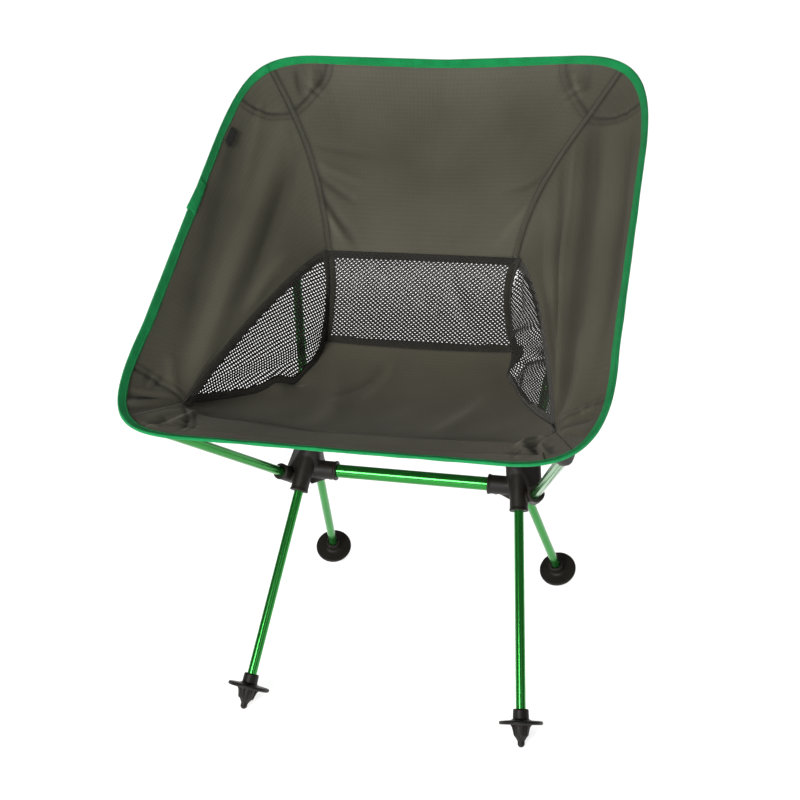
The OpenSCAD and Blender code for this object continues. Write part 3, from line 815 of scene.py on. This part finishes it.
def tree_of(*grids):
    """A search tree over point grids that answers with the nearest point and its normal."""
    verts, faces, base = [], [], 0
    for p in grids:
        verts.append(p.reshape(-1, 3))
        faces.append(grid_faces(*p.shape[:2]) + base)
        base += p.shape[0] * p.shape[1]
    return BVHTree.FromPolygons(np.vstack(verts).tolist(), np.vstack(faces).tolist())


def snap(tree, points, toward):
    """The nearest surface points, and normals turned towards the point toward."""
    found, normals = [], []
    for q in np.asarray(points, float).reshape(-1, 3):
        at, n, _, _ = tree.find_nearest(Vector(q))
        if n.dot(Vector(toward) - at) < 0:
            n = -n
        found.append(at)
        normals.append(n)
    shape = np.asarray(points).shape
    return np.array(found).reshape(shape), np.array(normals).reshape(shape)


SITTER, SITTER_LOW = pt(0, -60, 640), pt(0, -80, 520)  # points over the seat
trees = {key: tree_of(p) for key, (_, p) in made_panels.items()}


# ---- open mesh panels with real holes ----
def hole_mesh(name, p, hole, turned, lean):
    """Knit with staggered oval holes, laid over the point grid p.

    hole is a hole's half width and half height in mm. The knit is turned by an angle and its
    columns lean, as the cut and the pull leave it.
    """
    tree = tree_of(p)
    centre = p.reshape(-1, 3).mean(0)
    du = unit((p[-1] - p[0]).mean(0))
    n = unit(np.cross(du, (p[:, -1] - p[:, 0]).mean(0)))
    dv = np.cross(n, du)
    flat = np.stack([(p - centre) @ du, (p - centre) @ dv], -1)
    cut = np.ptp(flat.reshape(-1, 2), axis=0)
    du, dv = (math.cos(turned) * du + math.sin(turned) * dv,
              math.cos(turned) * dv - math.sin(turned) * du)
    flat = np.stack([(p - centre) @ du, (p - centre) @ dv], -1)
    ring = np.concatenate([flat[:, 0], flat[-1], flat[::-1, -1], flat[0, ::-1]])
    lo, hi = flat.reshape(-1, 2).min(0), flat.reshape(-1, 2).max(0)
    verts, faces, index = [], [], {}

    def vert(x, y):
        key = (round(x * 2e5), round(y * 2e5))
        if key not in index:
            index[key] = len(verts)
            verts.append((x, y))
        return index[key]

    def inside(x, y):
        a, b = ring, np.roll(ring, -1, 0)
        cross = (a[:, 1] > y) != (b[:, 1] > y)
        at = a[:, 0] + (y - a[:, 1]) * (b[:, 0] - a[:, 0]) / np.where(cross, b[:, 1] - a[:, 1], 1)
        return (cross & (x < at)).sum() % 2 == 1

    pitch, row = 5.7 * MM, 2.38 * MM
    hole_a, hole_b = hole[0] * MM, hole[1] * MM
    long_, short = 0.76 * row, 0.24 * row
    for j in range(int(lo[1] / row) - 1, int(hi[1] / row) + 2):
        shift = 0.5 * pitch * (j % 2)
        for i in range(int(lo[0] / pitch) - 4, int(hi[0] / pitch) + 5):
            cx, cy = i * pitch + shift + lean * j * row, j * row
            corners = [(pitch / 2, short), (0, long_), (-pitch / 2, short),
                       (-pitch / 2, -short), (0, -long_), (pitch / 2, -short)]
            if not all(inside(cx + x, cy + y) for x, y in corners):
                continue
            outer = []
            for a, b in zip(corners, corners[1:] + corners[:1]):
                outer.append(vert(cx + a[0], cy + a[1]))
                outer.append(vert(cx + (a[0] + b[0]) / 2, cy + (a[1] + b[1]) / 2))
            inner = []
            for x, y in [verts[k] for k in outer]:
                turn = math.atan2((y - cy) / hole_b, (x - cx) / hole_a)
                inner.append(vert(cx + hole_a * math.cos(turn), cy + hole_b * math.sin(turn)))
            faces += [(outer[k], outer[(k + 1) % 12], inner[(k + 1) % 12], inner[k])
                      for k in range(12)]
    space, n = [], Vector(n)
    for x, y in verts:
        q = Vector(centre + du * x + dv * y)
        hit = tree.ray_cast(q + n * 0.2, -n, 0.4)[0]
        space.append(hit if hit is not None else tree.find_nearest(q)[0])
    obj = add_mesh(name, np.array(space), faces, mesh_yarn)
    area = sum(f.area for f in obj.data.polygons)
    thicken(obj, NET_THICK)
    return obj, area, (float(cut[0]), float(cut[1]))


def mesh_grid(surface, toward, seed, folds):
    u, v = square(90, 70)
    p = surface(u, v)
    off = relief(surface, p, folds, [], seed)[0] * edge_fade(u, v)
    return pulled(p + grid_normals(p, toward) * off[..., None])


BACK_KNIT = (1.04, 0.62), 0.0, 0.14
SIDE_KNIT = (1.12, 0.86), math.radians(45), 0.0
MESHES = {
    # node: (knit, surface, normal's side, seed, folds as above)
    "back_mesh": (BACK_KNIT, back_mesh_s, 1, 71, [
        (-2.2, 9, 0.25, (0.62, 0.95), (0.68, 0.62), (0.76, 0.25), (0.79, 0.04)),
        (1.6, 16, 0.25, (0.3, 0.92), (0.28, 0.5), (0.22, 0.1))]),
    "side_mesh_left": (SIDE_KNIT, on_side(side_mesh_s, LEFT), -1, 72, [
        (4, 8, 0.25, (0.16, 0.3), (0.36, 0.34), (0.62, 0.42), (0.8, 0.5)),
        (-3.6, 6, 0.25, (0.2, 0.16), (0.4, 0.18), (0.66, 0.28)),
        (2.4, 4, 0.25, (0.24, 0.06), (0.36, 0.09), (0.5, 0.12))]),
    "side_mesh_right": (SIDE_KNIT, side_mesh_s, 1, 73, [
        (-7, 5, 0.2, (0.25, 0.1), (0.3, 0.24), (0.46, 0.5), (0.6, 0.72)),
        (6, 8, 0.2, (0.16, 0.2), (0.22, 0.36), (0.38, 0.62), (0.52, 0.84)),
        (3, 9, 0.25, (0.34, 0.08), (0.42, 0.26), (0.6, 0.5)),
        (-2.4, 7, 0.25, (0.1, 0.9), (0.16, 0.74), (0.26, 0.66))]),
}
for node, (knit, *weave) in MESHES.items():
    obj, area, size = hole_mesh(node + "_net", mesh_grid(*weave), *knit)
    settle(obj, "mesh_fabric", node)


# ---- bands sewn along edges: tapes, felled seams, hem ----
BAND_STEP = 0.002


def band(name, line, inward, width, material, thickness, tree=None, lift=0.0, columns=5,
         wave=0.0, seed=1):
    """A closed strip along a line, width (mm) towards the point inward, with rounded edges.

    Gives the piece and the rows of points on its upper face.
    """
    path = even(pulled(line), BAND_STEP)
    tangent = unit(np.gradient(path, axis=0))
    facing = inward - path
    facing = unit(facing - (facing * tangent).sum(-1, keepdims=True) * tangent)
    wander = 1 + wave * noise(path, 0.012, seed)[:, None, None]
    share = np.linspace(0, 1, columns)[None, :, None]
    flat = path[:, None] + facing[:, None] * (share * width * wander) * MM
    n = unit(np.cross(tangent, facing))[:, None].repeat(columns, 1)
    if tree is not None:
        flat, n = snap(tree, flat, SITTER)
    else:
        n = n * np.sign(((SITTER - flat) * n).sum(-1, keepdims=True))
    profile = np.sqrt(np.clip(1 - (2 * share - 1) ** 6, 0.06, 1)) * thickness / 2 * MM
    top = flat + n * (lift * MM + profile)
    bottom = flat + n * (lift * MM - profile)
    rings = np.concatenate([top, bottom[:, ::-1]], 1)
    uvs = uv_grid(np.arange(len(path)) * BAND_STEP, np.linspace(0, 2 * width * MM, 2 * columns))
    return closed_strip(name, rings, material, uvs), top


def fix_normals(obj):
    bm = bmesh.new()
    bm.from_mesh(obj.data)
    bmesh.ops.recalc_face_normals(bm, faces=bm.faces)
    bm.to_mesh(obj.data)
    bm.free()


def closed_strip(name, rings, material, uvs):
    """A tube through rings of points, closed at both ends."""
    count, m = rings.shape[:2]
    faces = [tuple(f) for f in grid_faces(count, m, wrap_v=True)]
    faces.append(tuple(range(m))[::-1])
    faces.append(tuple((count - 1) * m + k for k in range(m)))
    obj = add_mesh(name, rings, faces, material, uvs)
    fix_normals(obj)
    return obj


def join(objects, name):
    """Objects as one mesh object."""
    verts, faces, uvs, base = [], [], [], 0
    for o in objects:
        mesh = o.data
        verts += [tuple(v.co) for v in mesh.vertices]
        faces += [tuple(i + base for i in f.vertices) for f in mesh.polygons]
        base += len(mesh.vertices)
        uvs += [tuple(x.uv) for x in mesh.uv_layers[0].data]
    material = objects[0].data.materials[0]
    for o in objects:
        bpy.data.objects.remove(o)
    made = add_mesh(name, np.array(verts), faces, material)
    layer = made.data.uv_layers.new(name="cloth")
    layer.data.foreach_set("uv", np.array(uvs, float).ravel())
    return made


STITCH_LINES = []  # (line, thread)


def stitched(top, share, thread):
    """Notes a row of stitches at that share of a band's width."""
    column = share * (top.shape[1] - 1)
    k = int(column)
    line = mix(top[:, k], top[:, min(k + 1, top.shape[1] - 1)], column - k)
    STITCH_LINES.append((line, thread))


X = 2 * T - 1
MESH_MIDDLE = (PT_C + PT_D + PT_E) / 3
TAPES = [
    # node, line, point it faces, width mm, thickness mm, wave, seed, stitched or not
    ("mesh_tape_back", mesh_foot(X), pt(0, 70, 450), 9, 1.3, 0.03, 1, True),
    ("mesh_tape_back", mesh_top(X), pt(0, 60, 380), 9, 1.3, 0.03, 1, True),
]
for side, word in SIDES.items():
    for line, inward, width, wave, seed, sewn in (
            (hypot(T), MESH_MIDDLE, 9, 0.05, 5 + side, True),
            (lower(T), MESH_MIDDLE, 9, 0.05, 5 + side, True),
            (upright(T), MESH_MIDDLE, 7, 0.05, 5 + side, True),
            (upright(T), pt(0, 70, 420), 7, 0.04, 9, False)):
        TAPES.append(("mesh_tape_" + word, line * TURN[side], inward * TURN[side], width, 1.4,
                      wave, seed, sewn))
tapes = {}
for node, line, inward, width, thickness, wave, seed, sewn in TAPES:
    piece, top = band(node + "_piece", line, inward, width, tape_cloth, thickness, wave=wave,
                      seed=seed)
    if sewn:
        stitched(top, 0.5, dark_thread)
    tapes.setdefault(node, []).append(piece)
for node, parts in tapes.items():
    settle(join(parts, node + "_strip"), "seam_tape", node)

for side, word in SIDES.items():
    node = "seam_tape_" + word
    piece, top = band(node + "_fell", seam(T) * TURN[side], pt(0, 160, 600), 5.5, felled_cloth,
                      0.9, tree=trees["back"], lift=0.55, wave=0.06)
    # Dark row of stitches, which also stands for the painted shadow line along the seam.
    stitched(top, 0.10, dark_thread)
    stitched(top, 0.85, grey_thread)
    settle(piece, "seam_tape", node)

hem_line = seat_s(np.linspace(0.06, 0.94, 90), np.full(90, 0.99))
hem, hem_top = band("front_hem_band", hem_line, pt(0, -100, 350), 27, hem_cloth, 0.9,
                    tree=trees["seat"], lift=0.5, columns=14)
stitched(hem_top, 0.93, grey_thread)
settle(hem, "panel_fabric", "front_hem")


# ---- binding folded over the rim ----
def rim_frames():
    """Points once round the rim, with the inward direction and the normal at each."""
    rows = []
    for key, backward in (("back", False), ("side_right", False), ("seat", True),
                          ("side_left", True)):
        surface = PANELS[key][1]
        count = 230 if "side" in key else 190
        s = (np.arange(count) + 0.5) / count
        u = 1 - s if backward else s
        rim_v, inner_v = np.ones(count), np.full(count, 0.965)
        edge = surface(u, rim_v)
        ahead = surface(np.clip(u + 0.002, 0, 1), rim_v) - surface(np.clip(u - 0.002, 0, 1), rim_v)
        inward = unit(surface(u, inner_v) - edge)
        n = unit(np.cross(ahead, inward))
        n = n * np.sign((n * (SITTER_LOW - edge)).sum(-1, keepdims=True))
        rows.append(np.stack([edge, inward, n], 1))
    return np.concatenate(rows)


BINDING_W, BINDING_T = 11 * MM, 3.0 * MM
STITCH_X, LIP = 8.6, 0.4  # row of stitches, and how far the fold reaches past the rim, mm


def smooth_ring(a, times):
    for _ in range(times):
        a = (np.roll(a, 1, 0) + 2 * a + np.roll(a, -1, 0)) / 4
    return a


def make_binding():
    rows = rim_frames()
    edge = smooth_ring(rows[:, 0], 6)
    inward, n = unit(smooth_ring(rows[:, 1], 14)), unit(smooth_ring(rows[:, 2], 14))
    wander = noise(edge, 0.02, 301)
    width = 0.93 * BINDING_W * (1 + 0.035 * wander)
    half = BINDING_T / 2 * (1 + 0.10 * noise(edge, 0.014, 302))
    shape = []  # (mm inward, height as a share of half)
    for k in range(7):  # the rounded fold
        a = math.pi / 2 + math.pi * k / 6
        shape.append((0.55 * math.cos(a) + 0.35, math.sin(a)))
    face = [(x, 0.88 if x == STITCH_X else 1) for x in (2.2, 4.5, 7, STITCH_X, 9.6, 10.6, 11)]
    shape += [(x, -h) for x, h in face] + face[::-1]
    rings = []
    for x, h in shape:
        thin = 1 - 0.28 * min(x / 11, 1) if x > 0 else 1
        if x == 11:
            thin *= 0.9
        reach = (x - LIP) * MM * (width / BINDING_W)
        rings.append(edge + inward * reach[:, None] + n * (h * thin * half)[:, None])
    rings = np.stack(rings, 1)
    around = np.cumsum(norm(np.diff(edge, axis=0, append=edge[:1])))
    faces = grid_faces(*rings.shape[:2], True, True)
    obj = add_mesh("edge_binding_tape", rings, faces, binding_cloth,
                   uv_grid(around, stations(rings[0])))
    fix_normals(obj)
    for h in (1, -1):
        line = edge + inward * (STITCH_X - LIP) * MM + n * (h * half * 0.80)[:, None]
        STITCH_LINES.append((np.vstack([line, line[:1]]), green_thread))
    settle(obj, "edge_binding", "edge_binding")
    return edge, inward, n


rim_edge, rim_inward, rim_normal = make_binding()


def rim_index(point):
    return int(np.argmin(norm(rim_edge - point)))


def binding_overlap():
    """Where the binding's two ends lap on the left side edge: a second, thicker fold."""
    at = rim_index(LEFT_SIDE(np.array(0.450), np.array(1.0)))
    pick = np.arange(at - 9, at + 10) % len(rim_edge)
    edge, inward, n = rim_edge[pick], rim_inward[pick], rim_normal[pick]
    swell = 1 + 0.20 * np.sin(np.linspace(0, math.pi, len(pick)))[:, None]
    late = np.linspace(1, 0, len(pick))[:, None] ** 1.5  # grows towards the lower end
    count = 16
    rings = []
    for k in range(count):
        a = 2 * math.pi * k / count
        x = (5.0 + 6.0 * math.copysign(abs(math.cos(a)) ** 0.6, math.cos(a))) * MM
        h = 2.1 * MM * math.copysign(abs(math.sin(a)) ** 0.5, math.sin(a))
        slack = (late * 2.6 - 0.9) * MM * (math.cos(a) < 0)
        rings.append(edge + inward * (x - slack) + n * h * swell)
    uvs = uv_grid(np.arange(len(pick)) * 0.003, np.arange(count) * 0.0018)
    settle(closed_strip("binding_lap", np.stack(rings, 1), binding_cloth, uvs), "edge_binding")


binding_overlap()


# ---- stitched arcs on the face of the corners ----
corner_trees = {
    (side, end): tree_of(made_panels["side_" + SIDES[side]][1],
                         made_panels["back" if end == "top" else "seat"][1])
    for side, end in CORNER_KEYS}
# Dark stitch rows, which also stand for the painted shade of the sewn grooves.
for key, arc in ARCS.items():
    for line in (arc, outer_line(key)):
        line, n = snap(corner_trees[key], even(line, 0.002), SITTER)
        STITCH_LINES.append((line + n * 0.25 * MM, dark_thread))


# ---- pouches behind the corners, which the tube ends sit in ----
POUCH_STEP, POUCH_ROWS = 0.0035, 34
POUCHES = {
    # end: (node, tube, tip, room round the tip mm, spread of the room mm)
    "top": ("pole_pocket_", "back_pole_upper_", "pole_tip_", 8.2, 13),
    "front": ("arm_pocket_", "front_arm_", "arm_tip_", 6.7, 6),
}


def tube_axis(node):
    """The two ends of a tube's middle line."""
    verts = np.array([v.co for v in frame["nodes"][node].data.vertices], float)
    middle = verts.mean(0)
    axis = np.linalg.svd(verts - middle, full_matrices=False)[2][0]
    along = (verts - middle) @ axis
    return middle + axis * along.min(), middle + axis * along.max()


def make_hem_of(p, n, node):
    """The turned and stitched mouth of a pouch: its first few rows again, thicker."""
    rows = 4
    outer = p[:, :rows] - n[:, :rows] * 0.9 * MM
    inner = p[:, :rows] - n[:, :rows] * 0.3 * MM
    uvs = uv_grid(np.arange(len(p)) * POUCH_STEP, np.arange(2 * rows) * 0.002)
    obj = closed_strip(node + "_hem", np.concatenate([outer, inner[:, ::-1]], 1), pocket_cloth,
                       uvs)
    STITCH_LINES.append((outer[:, rows - 1], dark_thread))
    settle(obj, "pocket_fabric")


def calm(a, times):
    """A grid of values or vectors, smoothed along both of its directions."""
    for _ in range(times):
        for axis in (0, 1):
            wide = np.concatenate([np.take(a, [0], axis), a, np.take(a, [-1], axis)], axis)
            here = np.arange(a.shape[axis])
            a = (np.take(wide, here, axis) + 2 * a + np.take(wide, here + 2, axis)) / 4
    return a


def make_pouch(side, end):
    """A pouch from the sewn arc to the rim, hung round its tube's end and open along the arc."""
    node, tube, tip, room, spread = POUCHES[end]
    node, tube, tip = node + SIDES[side], tube + SIDES[side], tip + SIDES[side]
    arc = even(ARCS[(side, end)], POUCH_STEP)
    count, total = len(arc), len(rim_edge)
    first = rim_index(arc[0])
    span = (rim_index(arc[-1]) - first) % total
    if span > total / 2:
        span -= total
    picks = (first + np.round(np.linspace(0, span, count)).astype(int)) % total
    rim_part = rim_edge[picks] + rim_inward[picks] * 6 * MM
    share = np.linspace(0, 1, POUCH_ROWS)[None, :, None]
    at, n = snap(corner_trees[(side, end)], mix(arc[:, None], rim_part[:, None], share), SITTER)
    at, n = calm(at, 2), unit(calm(n, 12))
    a, b = tube_axis(tube)
    tip_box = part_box(tip)
    tip_at = np.array((tip_box[0] + tip_box[1]) / 2)
    root = a if norm(a - tip_at) > norm(b - tip_at) else b
    axis = unit(tip_at - root)
    stop = tip_at + axis * 0.010
    s = np.minimum(((at - root) * axis).sum(-1, keepdims=True), ((stop - root) * axis).sum())
    gap = root + axis * s - at
    depth = -(gap * n).sum(-1)
    beside = norm(gap + n * depth[..., None])
    near = bell(np.clip(beside - 4 * MM, 0, None), spread * MM)
    share, margin = share[..., 0], 0.10  # the pouch lies flat where it is sewn
    sew = np.clip(share / margin, 0, 1) * np.clip((1 - share) / margin, 0, 1)
    mouth = near * np.clip(1 - share / margin, 0, 1)
    hang = (np.clip(depth, 0, None) + room * MM) * near * np.maximum(sew, mouth)
    off = 1.3 * MM + hang + 0.4 * MM * noise(at, 0.02, 401)
    p = at - n * calm(off, 3)[..., None]
    uvs = uv_grid(np.arange(count) * POUCH_STEP, np.linspace(0, 0.12, POUCH_ROWS))
    obj = add_mesh(node + "_pouch", p, grid_faces(count, POUCH_ROWS), pocket_cloth, uvs)
    area = cloth_area(p)
    thicken(obj, CLOTH_THICK)
    settle(obj, "pocket_fabric", node)
    deep = float(stations(p[count // 2])[-1])
    wide = max(float(stations(p[:, 0])[-1]), area / deep)
    make_hem_of(p, n, node)


for key in CORNER_KEYS:
    make_pouch(*key)


# ---- blank tag, a folded loop sewn in beside the binding ----
def make_tag():
    """The loop runs out from the edge, turns over and comes back above itself."""
    wide, long_ = 9, 25  # points across and along the loop
    u = np.linspace(0.246, 0.286, wide)
    start, n = snap(trees["side_left"], LEFT_SIDE(u, np.full(wide, 0.945)), SITTER)
    along = unit(LEFT_SIDE(u, np.full(wide, 0.80)) - start)
    length = 9 * MM
    rows = []
    for s in np.arange(long_) / (long_ - 1):
        if s < 0.45:
            x, h = s / 0.45 * length, 1.2 + 0.8 * math.sin(s * 7)
        elif s < 0.55:
            a = (s - 0.45) / 0.1 * math.pi
            x, h = length + 1.3 * MM * math.sin(a), 2.5 - 1.3 * math.cos(a)
        else:
            x, h = (1 - (s - 0.55) / 0.45) * length, 3.8 - 1.6 * (s - 0.55) / 0.45
        rows.append(start + along * x + n * h * MM)
    uvs = uv_grid(np.linspace(0, 0.012, wide), np.linspace(0, 0.03, long_))
    obj = add_mesh("side_tag_loop", np.stack(rows, 1), grid_faces(wide, long_), tag_cloth, uvs)
    thicken(obj, CLOTH_THICK)
    settle(obj, "tag_fabric", "side_tag")


make_tag()


# ---- stitches ----
STITCH_PITCH, STITCH_LENGTH, STITCH_RADIUS = 0.0031, 0.0023, 0.00026


def stitch_mesh(name, rows, thread):
    """Rows of short round stitches as one piece."""
    paths = [even(line, STITCH_PITCH) for line in rows]
    at = np.concatenate([(path[1:] + path[:-1]) / 2 for path in paths])
    way = np.concatenate([unit(path[1:] - path[:-1]) for path in paths])
    beside = unit(np.cross(way, [0.31, 0.45, 0.84]))
    other = np.cross(way, beside)
    count = 6
    rings = []
    for s, r in ((-0.5, 0.45), (-0.3, 1.0), (0.3, 1.0), (0.5, 0.45)):
        for a in 2 * math.pi * np.arange(count) / count:
            rings.append(at + way * s * STITCH_LENGTH
                         + (beside * math.cos(a) + other * math.sin(a)) * r * STITCH_RADIUS)
    one = [tuple(f) for f in grid_faces(4, count, wrap_v=True)]
    one += [tuple(range(count))[::-1], tuple(range(3 * count, 4 * count))]
    faces = [tuple(i + len(rings) * k for i in f) for k in range(len(at)) for f in one]
    obj = add_mesh(name, np.stack(rings, 1), faces, thread)
    fix_normals(obj)
    return obj


for thread, name, slot_name in ((grey_thread, "grey_stitches", "panel_fabric"),
                                (dark_thread, "dark_stitches", "seam_tape"),
                                (green_thread, "green_stitches", "edge_binding")):
    rows = [line for line, kind in STITCH_LINES if kind == thread]
    settle(stitch_mesh(name, rows, thread), slot_name)

for obj, p in made_panels.values():
    area = cloth_area(p)
    across = float(stations(p[:, p.shape[1] // 2])[-1])
    tall = max(float(norm(np.diff(p, axis=1)).sum(1).max()), area / across)


# ---- moulded parts with softened edges ----
def soften(node, voxel, passes, material, body):
    """A copy of a moulded CAD part with its edges rounded as a moulding's are."""
    obj = place(bpy.data.objects.new(node + "_moulding", frame["nodes"][node].data.copy()))
    obj.data.materials.clear()
    obj.data.materials.append(material)
    mod = obj.modifiers.new("remesh", "REMESH")
    mod.mode = "VOXEL"
    mod.voxel_size = voxel
    mod.use_smooth_shade = True
    mod = obj.modifiers.new("smooth", "SMOOTH")
    mod.factor = 0.5
    mod.iterations = passes
    apply_modifiers(obj)
    obj.data.shade_smooth()
    settle(obj, "hub_nylon" if body == "frame" else "foot_nylon", node, body=body)


for side in SIDES.values():
    soften("hub_" + side, 0.0008, 5, nylon, "frame")
    for end in ("front", "rear"):
        soften(f"{end}_foot_{side}", 0.0006, 4, foot_nylon, f"{end}_leg_{side}_body")


# ---- floor, light and air ----
def lamp(name, kind, energy, at):
    data = bpy.data.lights.new(name, kind)
    data.energy = energy
    obj = place(bpy.data.objects.new(name, data))
    obj.location = at
    return obj, data


def make_stage():
    m = Paint("floor_paint")
    m.colour(m.blend(m.noise(3, 2), (0.86, 0.86, 0.86), (0.89, 0.89, 0.89)))
    m.set("Roughness", 0.9)
    m.set("Specular IOR Level", 0.1)
    reach = 40
    corners = [(-reach, -reach, 0), (reach, -reach, 0), (reach, reach, 0), (-reach, reach, 0)]
    floor = add_mesh("floor", np.array(corners, float), [(0, 1, 2, 3)], m.material, smooth=False)
    # A pale wall far off all round, which is seen but adds no light to the chair.
    m = Paint("backdrop_paint")
    m.colour((0, 0, 0))
    m.set("Specular IOR Level", 0)
    m.set("Emission Color", (1, 1, 1, 1))
    m.set("Emission Strength", 1)
    sides, radius, height = 64, 36, 40
    turn = np.arange(sides) * 2 * math.pi / sides
    ring = np.stack([np.cos(turn) * radius, np.sin(turn) * radius, turn * 0], -1)
    wall_points = np.stack([ring, ring + np.array([0, 0, height])], 1)
    wall = add_mesh("backdrop", wall_points, grid_faces(sides, 2, wrap_u=True), m.material)
    wall.visible_diffuse = False
    wall.visible_glossy = False
    wall.visible_shadow = False
    # A lamp that lights only the floor, so that it reads as a plain pale sweep.
    only = bpy.data.collections.new("floor_only")
    only.objects.link(floor)
    sun, data = lamp("floor_wash", "SUN", 3.3, (0, 0, 6))
    data.angle = math.radians(60)
    data.use_shadow = False
    sun.light_linking.receiver_collection = only


def soft_light(name, at, look_at, size, power, colour=(1, 1, 1)):
    light, data = lamp(name, "AREA", power, at)
    data.shape = "RECTANGLE"
    data.size, data.size_y = size
    data.color = colour
    light.rotation_euler = (Vector(look_at) - Vector(at)).to_track_quat("-Z", "Y").to_euler()


make_stage()
MIDDLE = (0, 0, 0.42)
soft_light("key", (-0.75, -2.4, 1.25), MIDDLE, (0.9, 0.9), 56, (1, 0.99, 0.97))
soft_light("right_fill", (1.7, -1.9, 1.0), MIDDLE, (0.8, 1.2), 5, (0.92, 0.97, 1))
soft_light("top", (0.0, 0.6, 3.0), MIDDLE, (2.2, 1.6), 5)

world = bpy.data.worlds.new("studio_air")
bpy.context.scene.world = world
world.use_nodes = True
sky = world.node_tree.nodes["Background"].inputs
sky["Color"].default_value = (1, 1, 1, 1)
sky["Strength"].default_value = 0.16

view = bpy.context.scene.view_settings
view.view_transform = "Standard"
view.look = "None"
view.exposure = 0.0
